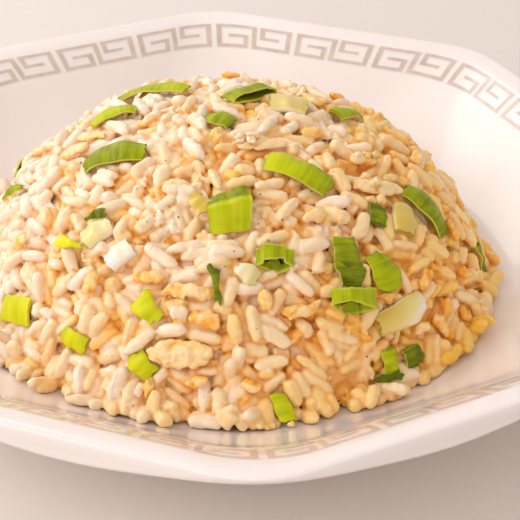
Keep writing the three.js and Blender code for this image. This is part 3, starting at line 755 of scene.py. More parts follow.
def leek_stem():
    """The white of the onion, softened in oil: wet, nearly clear layers with fine veins, turning
    from white to a thin yellow green."""
    material, tree = new_material("softened_leek_stem")
    # Veins 0.8 mm apart, along the stem.
    _, veins = veins_in(tree, 0.8, 6.0, 3.0, 1.4)
    tone = maths(tree, "MULTIPLY_ADD", veins, 0.05, value_in(tree, "tone"), clamp=True)
    colour = ramp(tree, tone, (0.0, linear("#fff3e8")), (0.5, linear("#ead888")), (1.0, linear("#d6b948")))
    finish_material(
        tree, Base_Color=colour, Roughness=0.28, IOR=1.4, Normal=bumped(tree, veins, 0.06, 0.1),
        Subsurface_Weight=0.7, Subsurface_Radius=(1.0, 0.8, 0.35), Subsurface_Scale=2.2 * MM,
        Coat_Weight=0.5, Coat_Roughness=0.1)
    return material


def ground_pepper():
    """Cracked black pepper: dry, dull and nearly black flakes."""
    material, tree = new_material("cracked_black_pepper")
    # Grey and brown husk, changing from flake to flake, about 0.5 mm.
    husk = clouds_in(tree, place_in(tree), 900.0)
    colour = ramp(tree, husk, (0.35, linear("#241408")), (0.7, linear("#5e3c1a")))
    finish_material(tree, Base_Color=colour, Roughness=0.7, IOR=1.45)
    return material


def painted_floor(settings):
    """A matt painted board: plain, pale and soft, with a trace of roller texture."""
    material, tree = new_material("matt_rolled_paint")
    # Roller stipple of about 3 mm.
    stipple = clouds_in(tree, place_in(tree), 300.0)
    colour = ramp(tree, stipple, (0.3, shaded(settings.floor_colour, 0.985)), (0.7, tuple(settings.floor_colour)))
    finish_material(tree, Base_Color=colour, Roughness=0.7, IOR=1.5)
    return material


# ---------------------------------------------------------------------------------------------
# Plate
# ---------------------------------------------------------------------------------------------


def plate_surface():
    """Points and faces of the plate, from the middle of its floor over the rim to the foot."""
    rings = np.vstack([TOP_PROFILE, np.array(FOOT_RINGS, float)])
    around = SIDES * bpy.context.scene.fried_rice_plate.segments
    share = np.arange(around) / around
    points = []
    for apothem, height, corner in rings:
        x, y = ring_point(share, min(apothem, RIM), min(corner, apothem))
        points.append(np.stack([x, y, np.full(around, height)], axis=-1))
    points = np.vstack(points + [np.array([[0, 0, FLOOR_CENTRE], [0, 0, UNDER_CENTRE]])])
    quads, ends = round_grid_faces(len(rings), around, len(points) - 2, len(points) - 1)
    return points, [quads[:, ::-1], ends[:, ::-1]]


# One unit of the key border, along (0 to 1) and across from the inner edge (0) to the outer (1).
KEY_PATH = [
    (0.17, 0.5), (0.38, 0.5), (0.38, 1), (0, 1), (0, 0), (0.5, 0), (0.5, 1), (1, 1), (1, 0), (0.62, 0),
    (0.62, 0.5), (0.83, 0.5),
]
KEY_UNITS = 3  # on each side
KEY_PITCH, KEY_LENGTH, KEY_BAND = 27.3, 25.6 * 0.93, 8.27  # unit to unit, along a unit, across the band
KEY_COLUMNS, KEY_ROWS = 84, 24  # faces in each unit
KEY_MARGIN = 0.03  # how far the sheet reaches past the band, as a share of it
KEY_FADE = 0.45  # the ink of a bar's edge fades over this width
KEY_RISE = 0.05  # the sheet's height over the glaze


def key_ink(along, across, bar, rail):
    """How much ink there is at places in one unit of the key border, 0 to 1. bar and rail are half
    the widths of its upright and level bars."""
    depth = np.full(along.shape, -np.inf)
    for piece in zip(KEY_PATH, KEY_PATH[1:]):
        ends = np.array([((x - 0.5) * KEY_LENGTH, rail + y * (KEY_BAND - 2 * rail)) for x, y in piece])
        low, high = ends.min(axis=0), ends.max(axis=0)
        inside_x = np.minimum(along - low[0] + bar, high[0] + bar - along)
        inside_y = np.minimum(across - low[1] + rail, high[1] + rail - across)
        depth = np.maximum(depth, np.minimum(inside_x, inside_y))
    ink = np.clip(depth / KEY_FADE + 0.5, 0, 1)
    return ink * ink * (3 - 2 * ink)


def key_border(settings):
    """A fine sheet just over the glaze that holds only the printed bars, with how much ink each
    point has."""
    profile = smooth_rings(TOP_RINGS, 8)
    arc = np.concatenate([[0], np.cumsum(np.linalg.norm(np.diff(profile[:, :2], axis=0), axis=1))])
    s, t = np.meshgrid(
        np.linspace(0, 1, KEY_COLUMNS + 1), np.linspace(-KEY_MARGIN, 1 + KEY_MARGIN, KEY_ROWS + 1), indexing="ij")
    ink = key_ink(
        (s - 0.5) * KEY_PITCH, t * KEY_BAND, settings.bar_width / MM / 2, settings.rail_width / MM / 2).ravel()
    position = np.interp(BAND_INNER, profile[:, 0], arc) + t * KEY_BAND
    apothem, height, corner = (np.interp(position, arc, profile[:, column]) for column in range(3))
    i, j = np.meshgrid(np.arange(KEY_COLUMNS), np.arange(KEY_ROWS), indexing="ij")
    first = i * (KEY_ROWS + 1) + j
    quads = np.stack([first, first + 1, first + KEY_ROWS + 2, first + KEY_ROWS + 1], axis=-1).reshape(-1, 4)
    quads = quads[ink[quads].max(axis=1) > 0]
    units = SIDES * KEY_UNITS
    points = []
    for unit in range(units):
        x, y = ring_point((unit + s) / units + 0.5 / SIDES, apothem, corner)
        grid = np.stack([x, y, height], axis=-1)
        normal = np.cross(np.gradient(grid, axis=1), np.gradient(grid, axis=0))
        normal /= np.linalg.norm(normal, axis=-1, keepdims=True)
        normal *= np.sign(normal[..., 2:3])
        points.append((grid + KEY_RISE * normal).reshape(-1, 3))
    faces = np.vstack([quads + unit * s.size for unit in range(units)])
    points, faces, used = kept_faces(np.vstack(points), faces, slice(None))
    a, b, c = points[faces[0, :3]]
    if np.cross(b - a, c - a)[2] < 0:
        faces = faces[:, ::-1]
    return points, faces, np.tile(ink, units)[used]


class FRIEDRICE_OT_plate(bpy.types.Operator):
    """Builds the octagonal plate and its printed border"""

    bl_idname = "fried_rice.plate"
    bl_label = "Plate"

    def execute(self, context):
        settings = context.scene.fried_rice_plate
        points, faces = plate_surface()
        make_piece("octagonal_plate", points, faces, glazed_porcelain(settings), ["plate"])
        points, faces, ink = key_border(settings)
        make_piece("key_border", points, [faces], underglaze_print(settings, settings.glaze),
                   attributes={"ink": ink})
        return {"FINISHED"}


# ---------------------------------------------------------------------------------------------
# Rice
# ---------------------------------------------------------------------------------------------

CORE_SINK = 1.9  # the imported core's skin stands this far below the heap's nominal skin
CORE_RELIEF = 0.7  # how far that skin goes in and out
INNER_SINK, INNER_RELIEF = 1.9, 0.4  # how much further in the solid under it is, and its share of the relief
# A grain's middle line goes no deeper than a height in one of these ranges: of the grains that fill
# the skin, of those that rest on them, and of those that lie on the plate.
DEEPEST_FILL, DEEPEST_UPPER, DEEPEST_FOOT = (-1.6, -0.9), (-0.4, 0.5), (-1.2, 0.9)
HIGHEST = 2.65  # no grain's top stands higher than this, apart from
HIGHEST_LEAN, HIGHEST_BIT = 3.6, 4.2  # grains that lean on a topping and bits that lie on one
LEAN_RANGE = (2.6, 6)  # how far to the side a topping's bar is that a grain may lean on
FOOT_SINK, FOOT_SLOPE = 0.8, 7  # how much further in the core stays where it meets the plate, and up to where
STUCK_FOOT = 7  # grains lower than this over the mound's base all stick in the skin
CREASE = 0.35  # a point this near another grain lies in the crease between them
MOST_TRIANGLES = 180000  # in one piece
# The rice is more golden towards this bearing, the side turned from the key light: partly frying, partly painted
# shade.
GOLDEN_BEARING = math.radians(2)

GRAIN, CRUMB, BIT = 0, 1, 2  # kinds of bar in the heap
LENGTH_SPREAD, LENGTH_RANGE = 0.11, (0.7, 1.2)  # of grains, as shares of a whole grain's length
WIDTH_SPREAD, WIDTH_RANGE = 0.09, (0.78, 1.18)
BROKEN_SHARE, BROKEN_RANGE = 0.14, (0.45, 0.75)
FOOT_LENGTH = 0.86  # length of the grains on the plate, which have broken most
CRUMB_LENGTHS, BIT_LENGTHS, LUMP_WIDTHS = (2.2, 5.4), (1.6, 3.2), (0.55, 0.85)
START_UPPER, START_FILL = 1.9, -1.2  # heights from which the grains start to settle
LAID_FLAT = 0.72  # how much of its lean a grain loses before it settles
TOPPING_PACKING = 0.47  # a grain's radius towards a topping, as a share of its width
HALF_WIDTH = 0.48  # from a grain's middle line to its skin, as a share of its width
GRAIN_SHAPES, LUMP_SHAPES = 28, 20

STIFFNESS = 0.42  # share of an overlap that is taken out in one pass
PULL, LAST_PULL, LAST_PASSES = 0.09, 0.03, 0.75  # how far grains sink in a pass, and in the last ones
# Directions from which the heap is looked at: how far each leans from straight out, and to where.
LOOKS = ((0, 0), (0.8, 0.5), (0.8, 2.1), (0.8, 3.6), (0.8, 5.2), (1.8, 1.2), (1.8, 3.3), (1.8, 5.4))


def core_surface(sink, relief, around=300, levels=84):
    """The mound's packed core, a sink below the heap's skin, with relief of two grains' size."""
    bearings = np.linspace(0, 2 * math.pi, around + 1)[:-1]
    climbs = np.radians(np.linspace(0.5, 89, levels))
    climb, bearing = np.meshgrid(climbs, bearings, indexing="ij")
    skin = core_place(bearing, climb)
    lumps = np.array([
        noise.fractal(Vector(point) * 0.22, 0.9, 2.0, 3) for point in skin.reshape(-1, 3)]).reshape(climb.shape)
    low = np.clip(1 - (skin[..., 2] - MOUND_BASE) / FOOT_SLOPE, 0, 1)
    points = on_core(skin, relief * lumps - sink - FOOT_SINK * low)
    # Rings that would lie under the plate's floor end where the skin meets it.
    reach = np.hypot(points[..., 0], points[..., 1])
    first = np.argmax(points[..., 2] > floor_height(reach) + 0.2, axis=0)
    ring = np.maximum(np.arange(levels)[:, None], first)
    under = np.arange(levels)[:, None] < first
    points[..., :2] = np.take_along_axis(points[..., :2], ring[..., None], axis=0)
    points[..., 2] = np.where(under, floor_height(reach) + 0.2, points[..., 2])
    top = on_core(np.array([MOUND_X, MOUND_Y, 60.0]), -sink)
    base = np.array([MOUND_X, MOUND_Y, FLOOR_CENTRE + 0.2])
    points = np.vstack([points.reshape(-1, 3), base, top])
    quads, ends = round_grid_faces(len(climbs), len(bearings), len(points) - 2, len(points) - 1)
    return points, [quads, ends]


def seen_faces(points, quads):
    """Which faces of the heap can be seen from outside it."""
    tree = BVHTree.FromPolygons(points.tolist(), quads.tolist())
    corners = points[quads]
    middles = corners.mean(axis=1)
    normals = np.cross(corners[:, 2] - corners[:, 0], corners[:, 3] - corners[:, 1])
    normals /= np.maximum(np.linalg.norm(normals, axis=1, keepdims=True), 1e-9)
    out = core_normal(middles)
    side = np.cross(out, [0.3, 0.2, 0.93])
    side /= np.linalg.norm(side, axis=1, keepdims=True)
    up = np.cross(out, side)
    starts = middles + 0.04 * normals
    seen = np.zeros(len(quads), bool)
    is_skin = (above_core(middles) > -6) & (middles[:, 2] > MOUND_BASE + 0.6)
    for lean, turn in LOOKS:
        ways = out + lean * (math.cos(turn) * side + math.sin(turn) * up)
        ways /= np.linalg.norm(ways, axis=1, keepdims=True)
        tried = np.flatnonzero(~seen & is_skin & (np.einsum("ij,ij->i", normals, ways) > 0))
        for index in tried:
            if tree.ray_cast(starts[index], ways[index], 15.0)[0] is None:
                seen[index] = True
    # Faces next to a seen one stay as well.
    near = np.zeros(len(points), bool)
    near[quads[seen]] = True
    return near[quads].any(axis=1)


def vertex_normals(points, faces):
    corners = points[faces]
    normals = np.cross(corners[:, 1] - corners[:, 0], corners[:, 2] - corners[:, 0])
    if faces.shape[1] == 4:
        normals += np.cross(corners[:, 2] - corners[:, 0], corners[:, 3] - corners[:, 0])
    total = np.zeros_like(points)
    for corner in range(faces.shape[1]):
        for axis in range(3):
            total[:, axis] += np.bincount(faces[:, corner], normals[:, axis], len(points))
    return total / np.maximum(np.linalg.norm(total, axis=1, keepdims=True), 1e-12)


def topping_bars():
    """Short bars that fill each topping, so that grains settle round it: ends and radii."""
    starts, ends, radii = [], [], []
    for piece in SCALLIONS + LEEKS + EGGS + EGG_SCRAPS + LEAF_SCRAPS:
        length, width, thick = piece["size"]
        radius = min(thick, 2.6) / 2
        rows = max(1, round((width - 2 * radius) / (1.6 * radius))) + 1
        steps = max(2, round(length / 4))
        lift = piece["lift"] + GAP + thick / 2
        u = np.linspace(-1, 1, steps + 1) * (length / 2 - radius)
        for v in np.linspace(-1, 1, rows) * max(0.0, width / 2 - radius):
            share = u / (length / 2)
            rise = lift + piece["crown"] * (1 - share ** 2)
            rise += piece["fold"] * (1 - abs(v) / (width / 2))
            line = laid(piece, u, np.full_like(u, v), rise)
            starts.append(line[:-1])
            ends.append(line[1:])
            radii.append(np.full(steps, radius + 0.05))
    return np.vstack(starts), np.vstack(ends), np.concatenate(radii)


def scatter_on_core(random, count):
    """Random places spread evenly over the core's area."""
    bearings = np.linspace(0, 2 * math.pi, 241)
    climbs = np.linspace(0, math.pi / 2, 121)
    climb, bearing = np.meshgrid(climbs, bearings, indexing="ij")
    grid = core_place(bearing, climb)
    area = np.linalg.norm(np.cross(grid[1:, :-1] - grid[:-1, :-1], grid[:-1, 1:] - grid[:-1, :-1]), axis=-1)
    chosen = random.choice(area.size, count, p=area.ravel() / area.sum())
    row, column = np.unravel_index(chosen, area.shape)
    jitter = random.random((2, count))
    return core_place(
        (column + jitter[0]) * (bearings[1] - bearings[0]), (row + jitter[1]) * (climbs[1] - climbs[0]))


def clusters_on_core(random, count, members, spread):
    """Random places in small clusters."""
    centres = scatter_on_core(random, -(-count // members))
    places = np.repeat(centres, members, axis=0)[:count]
    return on_core(places + random.normal(0, spread, (count, 3)))


def closest_shares(a0, a1, b0, b1):
    """Where two bars come closest, as shares of their lengths."""
    first, second, between = a1 - a0, b1 - b0, a0 - b0
    a = np.einsum("ij,ij->i", first, first)
    e = np.einsum("ij,ij->i", second, second)
    f = np.einsum("ij,ij->i", second, between)
    c = np.einsum("ij,ij->i", first, between)
    b = np.einsum("ij,ij->i", first, second)
    s = np.clip((b * f - c * e) / np.maximum(a * e - b * b, 1e-6), 0, 1)
    t = np.clip((b * s + f) / np.maximum(e, 1e-6), 0, 1)
    s = np.clip((b * t - c) / np.maximum(a, 1e-6), 0, 1)
    return s, t


def settle(starts, ends, radii, deepest, firm, passes=170, margin=0.8):
    """Lets round ended bars sink onto the core and push each other apart. The bars that have a
    deepest height move and keep their lengths; the rest stand still. Grains give way to each
    other, but not to what stands still, for which their radii are firm times as large."""
    moving = len(deepest)
    half = np.linalg.norm(ends - starts, axis=1)[:, None] / 2
    weight = np.zeros(len(starts))
    weight[:moving] = 1.0
    starts, ends = starts.copy(), ends.copy()
    for step in range(passes):
        if step % 8 == 0:
            middle = (starts + ends) / 2
            reach = half[:, 0] + radii
            gap = np.linalg.norm(middle[:moving, None] - middle[None], axis=-1)
            near = gap < reach[:moving, None] + reach[None] + margin
            first, second = np.nonzero(near)
            keep = first < second
            first, second = first[keep], second[keep]
            needed = np.where(second < moving, 1.0, firm) * radii[first] + radii[second]
        s, t = closest_shares(starts[first], ends[first], starts[second], ends[second])
        from_first = starts[first] + s[:, None] * (ends[first] - starts[first])
        from_second = starts[second] + t[:, None] * (ends[second] - starts[second])
        apart = from_first - from_second
        distance = np.maximum(np.linalg.norm(apart, axis=1), 1e-6)
        overlap = np.maximum(needed - distance, 0)
        share = weight[first] * ((1 - s) ** 2 + s ** 2) + weight[second] * ((1 - t) ** 2 + t ** 2)
        push = (STIFFNESS * overlap / share / distance)[:, None] * apart
        for target, index, amount, sign in (
                (starts, first, 1 - s, 1), (ends, first, s, 1),
                (starts, second, 1 - t, -1), (ends, second, t, -1)):
            scaled = push * (sign * amount * weight[index])[:, None]
            for axis in range(3):
                target[:, axis] += np.bincount(index, scaled[:, axis], len(target))
        pull = PULL if step < passes * LAST_PASSES else LAST_PULL
        for target in (starts, ends):
            part = target[:moving]
            normal = core_normal(part)
            part -= pull * normal
            part += np.maximum(deepest - above_core(part), 0)[:, None] * normal
            floor = floor_height(np.hypot(part[:, 0], part[:, 1])) + firm * radii[:moving]
            part[:, 2] = np.maximum(part[:, 2], floor)
        middle = (starts + ends) / 2
        way = ends - starts
        way /= np.maximum(np.linalg.norm(way, axis=1, keepdims=True), 1e-6)
        starts[:moving] = (middle - way * half)[:moving]
        ends[:moving] = (middle + way * half)[:moving]
    return starts[:moving], ends[:moving]


def grain_template(random, around=14, along=12):
    """A cooked grain of unit length and unit width: blunt, bent, flattened, dented and swollen."""
    t = -np.cos(np.pi * np.arange(1, along) / along)
    angle = 2 * np.pi * np.arange(around) / around
    tt, aa = np.meshgrid(t, angle, indexing="ij")
    radius = 0.5 * (1 - np.abs(tt) ** random.uniform(2.6, 4.6)) ** random.uniform(0.46, 0.56)
    radius *= 1 + random.uniform(-0.2, 0.2) * tt
    groove = random.uniform(0, 2 * np.pi)
    radius *= 1 - random.uniform(0.03, 0.16) * np.exp(-(np.angle(np.exp(1j * (aa - groove))) / 0.5) ** 2)
    bend = random.normal(0, 0.13)
    twist = random.uniform(-0.12, 0.12)
    flat = random.uniform(0.78, 0.95)
    points = np.stack([0.5 * tt, radius * np.cos(aa), radius * np.sin(aa) * flat], axis=-1).reshape(-1, 3)
    points = np.vstack([points, [-0.5, 0, 0], [0.5, 0, 0]])
    # Swollen and split skin: lumps of a third of a grain's length and finer ones.
    shift = Vector(random.uniform(-50, 50, 3))
    swell = np.array([
        noise.noise(Vector((x * 5.5, y * 2.4, z * 2.4)) + shift) + 0.45 * noise.noise(
            Vector((x * 14, y * 6, z * 6)) + shift) for x, y, z in points])
    points *= 1 + np.array([0.05, 0.3, 0.3]) * swell[:, None] * random.uniform(0.5, 1.1)
    t = 2 * points[:, 0]
    points[:, 1] += bend * (1 - t * t) + twist * t
    if random.random() < 0.25:
        # A broken end, nearly flat.
        cut = random.uniform(0.3, 0.42)
        past = np.maximum(points[:, 0] - cut - 0.12 * points[:, 2], 0)
        points[:, 0] -= 0.85 * past
    quads, ends = round_grid_faces(along - 1, around, len(points) - 2, len(points) - 1)
    return points, quads, ends


def lump_template(random, rough=0.5, around=11, along=8):
    """A soft lump of unit size, with dents and blunt corners."""
    tilt = np.pi * np.arange(1, along) / along
    angle = 2 * np.pi * np.arange(around) / around
    tt, aa = np.meshgrid(tilt, angle, indexing="ij")
    ways = np.stack([-np.cos(tt), np.sin(tt) * np.cos(aa), np.sin(tt) * np.sin(aa)], axis=-1).reshape(-1, 3)
    ways = np.vstack([ways, [-1, 0, 0], [1, 0, 0]])
    shift = Vector(random.uniform(-50, 50, 3))
    swell = np.array([noise.fractal(Vector(way) * 1.1 + shift, 0.8, 2.0, 3) for way in ways])
    points = 0.5 * ways * (1 + rough * swell)[:, None]
    quads, ends = round_grid_faces(along - 1, around, len(points) - 2, len(points) - 1)
    return points, quads, ends


def joined(copies):
    """Joins copies of templates, each (points, quads, ends), and says which copy a point is of."""
    points, quads, ends, owners = [], [], [], []
    start = 0
    for index, (shape, shape_quads, shape_ends) in enumerate(copies):
        points.append(shape)
        quads.append(shape_quads + start)
        ends.append(shape_ends + start)
        owners.append(np.full(len(shape), index))
        start += len(shape)
    return np.vstack(points), [np.vstack(quads), np.vstack(ends)], np.concatenate(owners)


def golden_share(points):
    """How golden the rice is at points of the mound, in soft patches: more towards GOLDEN_BEARING and
    lower down. That side is turned from the key light, so this is partly the rice's own frying and partly
    painted shade."""
    x, y = points[:, 0] - MOUND_X, points[:, 1] - MOUND_Y
    toward = (x * math.cos(GOLDEN_BEARING) + y * math.sin(GOLDEN_BEARING)) / MOUND_RADIUS
    patches = np.array([noise.noise(Vector(point) * 0.06) for point in points])
    return 0.28 + 0.44 * toward + 0.4 * patches - 0.1 * (points[:, 2] - MOUND_BASE) / MOUND_HEIGHT


def egg_film(points):
    """How much egg has set over the grains at points: in patches of about 8 mm, more between the
    grains than on their tops."""
    patches = np.array([noise.noise(Vector(point) * 0.13 + Vector((7, 3, 1))) for point in points])
    low = np.clip((1.5 - above_core(points)) / 2, 0, 1)
    return np.clip(2.6 * (patches - 0.06), 0, 0.85) * (0.3 + 0.7 * low)


def point_tree(points):
    tree = KDTree(len(points))
    for index, point in enumerate(points):
        tree.insert(point, index)
    tree.balance()
    return tree


def bar_sizes(random, settings):
    """Lengths and widths of the grains, the crumbs of egg and the bits of grain."""
    grains, lumps = settings.grains + settings.foot_grains, settings.crumbs + settings.bits
    lengths = np.concatenate([
        settings.grain_length / MM * np.clip(random.normal(1, LENGTH_SPREAD, grains), *LENGTH_RANGE),
        random.uniform(*CRUMB_LENGTHS, settings.crumbs), random.uniform(*BIT_LENGTHS, settings.bits)])
    lengths[settings.grains:grains] *= FOOT_LENGTH
    broken = random.random(grains) < BROKEN_SHARE
    lengths[:grains][broken] *= random.uniform(*BROKEN_RANGE, broken.sum())
    widths = np.concatenate([
        settings.grain_width / MM * np.clip(random.normal(1, WIDTH_SPREAD, grains), *WIDTH_RANGE),
        lengths[grains:] * random.uniform(*LUMP_WIDTHS, lumps)])
    return lengths, widths


def bar_places(random, settings):
    """Where the grains, the crumbs and the bits lie on the core before they settle. Egg gathers
    where the rice is golden."""
    foot, tries = settings.foot_grains, 4 * settings.crumbs
    crumbs = clusters_on_core(random, tries, 3, 2.6)
    crumbs = crumbs[np.argsort(random.random(tries) - 0.75 * golden_share(crumbs))[:settings.crumbs]]
    return np.vstack([
        scatter_on_core(random, settings.grains),
        core_place(random.uniform(0, 2 * math.pi, foot), np.radians(random.uniform(1.5, 6, foot))),
        crumbs, clusters_on_core(random, settings.bits, 6, 1.5)])


def beside(middles, others):
    """How far points lie to the side of the nearest of other points, along the core's skin."""
    tree = point_tree(others)
    away = middles - others[[tree.find(middle)[1] for middle in middles]]
    normals = core_normal(middles)
    return np.linalg.norm(away - np.einsum("ij,ij->i", away, normals)[:, None] * normals, axis=1)


class Heap:
    """The settled grains and crumbs of the mound: the ends and radius of each one's middle bar."""

    def __init__(self, settings):
        self.random = random = np.random.default_rng(settings.seed)
        grains = settings.grains + settings.foot_grains
        lengths, widths = bar_sizes(random, settings)
        places = bar_places(random, settings)
        count = len(places)
        kinds = np.repeat([GRAIN, CRUMB, BIT], [grains, settings.crumbs, settings.bits])
        normals = core_normal(places)
        upper = (random.random(count) < settings.upper_share) | (kinds == BIT)
        places += normals * np.where(upper, START_UPPER, START_FILL)[:, None]
        deepest = np.where(
            upper, random.uniform(*DEEPEST_UPPER, count), random.uniform(*DEEPEST_FILL, count))
        deepest[settings.grains:grains] = random.uniform(*DEEPEST_FOOT, settings.foot_grains)
        ways = random.normal(size=(count, 3))
        ways -= LAID_FLAT * np.einsum("ij,ij->i", ways, normals)[:, None] * normals
        ways /= np.linalg.norm(ways, axis=1, keepdims=True)
        radii = widths * settings.packing
        half = np.maximum(lengths / 2 - radii, 0.1)[:, None]
        bar_starts, bar_ends, bar_radii = topping_bars()
        starts, ends = settle(
            np.vstack([places - ways * half, bar_starts]), np.vstack([places + ways * half, bar_ends]),
            np.concatenate([radii, bar_radii]), deepest, TOPPING_PACKING / settings.packing)

        # Grains beside a topping may lean on its edge, small bits may lie on it, and grains that
        # stand too high are left out, apart from those at the mound's foot.
        top = np.maximum(above_core(starts), above_core(ends)) + widths * HALF_WIDTH
        middles = (starts + ends) / 2
        aside = beside(middles, (bar_starts + bar_ends) / 2)
        is_inside = middles[:, 2] + widths / 2 < TOP
        leans = (aside > LEAN_RANGE[0]) & (aside < LEAN_RANGE[1]) & (top < HIGHEST_LEAN) & is_inside
        rests = (kinds == BIT) & (top < HIGHEST_BIT) & is_inside
        edge = core_radius(np.arctan2(middles[:, 1] - MOUND_Y, middles[:, 0] - MOUND_X), MOUND_BASE)
        reach = np.hypot(middles[:, 0] - MOUND_X, middles[:, 1] - MOUND_Y)
        is_foot = (middles[:, 2] < MOUND_BASE + 6) & (reach < edge - 1.8)
        keep = (top < HIGHEST) | leans | rests | is_foot

        self.kinds, self.lengths, self.widths = kinds[keep], lengths[keep], widths[keep]
        self.starts, self.ends = starts[keep], ends[keep]
        self.middles = (self.starts + self.ends) / 2
        ways = self.ends - self.starts
        self.ways = ways / np.linalg.norm(ways, axis=1, keepdims=True)
        count = len(self.middles)
        self.tones = golden_share(self.middles) + random.normal(0, 0.15, count)
        coated = random.random(count) < 0.04 + 0.12 * np.clip(self.tones, 0, 1)
        self.films = np.where(coated, random.uniform(0.2, 0.5, count), 0.0)
        self.films[self.kinds == CRUMB] = 0.8
        self.rolls = random.uniform(0, 2 * np.pi, count)
        self.tree = point_tree(np.stack([self.starts, self.middles, self.ends], axis=1).reshape(-1, 3))

    def copies(self):
        """A grain or a lump laid along each bar, made from a few shapes of each."""
        grains = [grain_template(self.random) for _ in range(GRAIN_SHAPES)]
        lumps = [lump_template(self.random, 0.8) for _ in range(LUMP_SHAPES)]
        copies = []
        for index, (kind, long, wide) in enumerate(zip(self.kinds, self.lengths, self.widths)):
            shapes, scale = (grains, (long, wide, wide)) if kind == GRAIN else (lumps, (long, wide * 1.1, wide))
            copies.append(self.placed(index, shapes[index % len(shapes)], np.array(scale)))
        return copies

    def placed(self, index, template, scale):
        """A template laid along one bar."""
        shape, quads, ends = template
        way = self.ways[index]
        side = np.cross([0.31, 0.22, 0.93], way)
        side /= np.linalg.norm(side)
        up = np.cross(way, side)
        roll = self.rolls[index]
        axes = np.stack([
            way, side * math.cos(roll) + up * math.sin(roll), up * math.cos(roll) - side * math.sin(roll)])
        return (shape * scale) @ axes + self.middles[index], quads, ends

    def neighbours(self, points, owners=None):
        """For each point the bar it lies on, its distance to the surface of the nearest other bar
        and that to the nearest of all. owners gives the bars where they are known."""
        near = np.array([[hit[1] for hit in self.tree.find_n(point, 12)] for point in points]) // 3
        starts, ends = self.starts[near], self.ends[near]
        along = ends - starts
        share = np.einsum("ijk,ijk->ij", points[:, None] - starts, along) / np.maximum(
            np.einsum("ijk,ijk->ij", along, along), 1e-9)
        nearest = starts + np.clip(share, 0, 1)[..., None] * along
        gaps = np.linalg.norm(points[:, None] - nearest, axis=-1) - HALF_WIDTH * self.widths[near]
        if owners is None:
            owners = near[np.arange(len(points)), np.argmin(gaps, axis=1)]
        owner_gaps = gaps.min(axis=1)
        gaps[near == owners[:, None]] = 9.0
        return owners, gaps.min(axis=1), owner_gaps

    def values(self, points, owners, crease):
        """What the rice's material reads at each point."""
        return {
            "tone": np.clip(self.tones[owners], 0, 1),
            "film": np.maximum(self.films[owners], egg_film(points)), "crease": crease}


class FRIEDRICE_OT_rice(bpy.types.Operator):
    """Builds the mound's core and lays the grains and egg crumbs on it"""

    bl_idname = "fried_rice.rice"
    bl_label = "Rice"

    def execute(self, context):
        settings = context.scene.fried_rice_rice
        heap = Heap(settings)
        copies = heap.copies()
        rice, egg = cooked_rice(settings), scrambled_egg(context.scene.fried_rice_toppings)

        # The core shows only through gaps between the grains, so it takes the full crease colour: painted shade
        # as well as egg and oil.
        points, faces = core_surface(CORE_SINK + INNER_SINK, INNER_RELIEF * CORE_RELIEF, 120, 40)
        make_piece("rice_core", points, faces, rice, ["rice_mound"], {
            key: np.full(len(points), value) for key, value in (("tone", 0.8), ("film", 0.5), ("crease", 1.0))})

        # Most grains stick together in one skin. The topmost stay whole on it.
        is_loose = above_core(heap.middles) > settings.pressed / MM
        is_loose &= heap.middles[:, 2] > MOUND_BASE + STUCK_FOOT
        stuck, loose = np.flatnonzero(~is_loose), np.flatnonzero(is_loose)
        self.make_skin(heap, settings, [copies[index] for index in stuck], rice)
        for name, kind in (("rice_grains", GRAIN), ("rice_bits", BIT), ("egg_crumbs", CRUMB)):
            members = loose[heap.kinds[loose] == kind]
            if not len(members):
                continue
            points, faces, owners = joined([copies[index] for index in members])
            owners = members[owners]
            # Loose grains are coloured where they touch others: painted contact shade, with some oil.
            _, gaps, _ = heap.neighbours(points, owners)
            material, slot = (egg, "scrambled_egg") if kind == CRUMB else (rice, "cooked_rice")
            make_piece(name, points, faces, material, attributes=heap.values(
                points, owners, np.exp(-(np.maximum(gaps, 0) / CREASE) ** 2)))
        return {"FINISHED"}

    def make_skin(self, heap, settings, stuck, rice):
        """Melts the stuck grains into the core's skin, keeps what shows of it and cuts it into
        sectors, so that no piece is too large."""
        points, faces = core_surface(CORE_SINK, CORE_RELIEF)
        stuck_points, stuck_faces, _ = joined(stuck)
        points, quads = fused(
            np.vstack([points, stuck_points]), faces + [group + len(points) for group in stuck_faces],
            settings.skin_grid / MM, 1)
        points, quads, _ = kept_faces(points, quads, seen_faces(points, quads))
        points, faces = thinned(points, quads, settings.skin_triangles)
        normals = vertex_normals(points, faces)
        owners, gaps, owner_gaps = heap.neighbours(points)
        # Crease value: near where grains touch, and where a point lies far from its own grain's skin, between
        # grains. It paints shade there, with the egg and oil that gather.
        crease = np.exp(-(np.maximum(gaps, 0) / CREASE) ** 2)
        crease = np.maximum(crease, np.clip((owner_gaps - 0.3) / 0.5, 0, 1))
        # Low creases are coloured most: egg and oil run down there, and the colour is painted shade of the low
        # places as well.
        crease *= 0.45 + 0.55 * np.clip((1.2 - above_core(points)) / 2.2, 0, 1)
        values = heap.values(points, owners, crease)
        middles = points[faces].mean(axis=1)
        bearings = np.arctan2(middles[:, 1] - MOUND_Y, middles[:, 0] - MOUND_X)
        parts = -(-len(faces) // MOST_TRIANGLES)
        sectors = np.argsort(np.argsort(bearings)) * parts // len(faces)
        for part in range(parts):
            part_points, part_faces, used = kept_faces(points, faces, sectors == part)
            piece = make_piece(
                f"stuck_rice_{part + 1}", part_points, [part_faces], rice,
                attributes={key: value[used] for key, value in values.items()})
            piece.data.normals_split_custom_set_from_vertices(normals[used].tolist())


# ---------------------------------------------------------------------------------------------
# Scallion and leek
# ---------------------------------------------------------------------------------------------


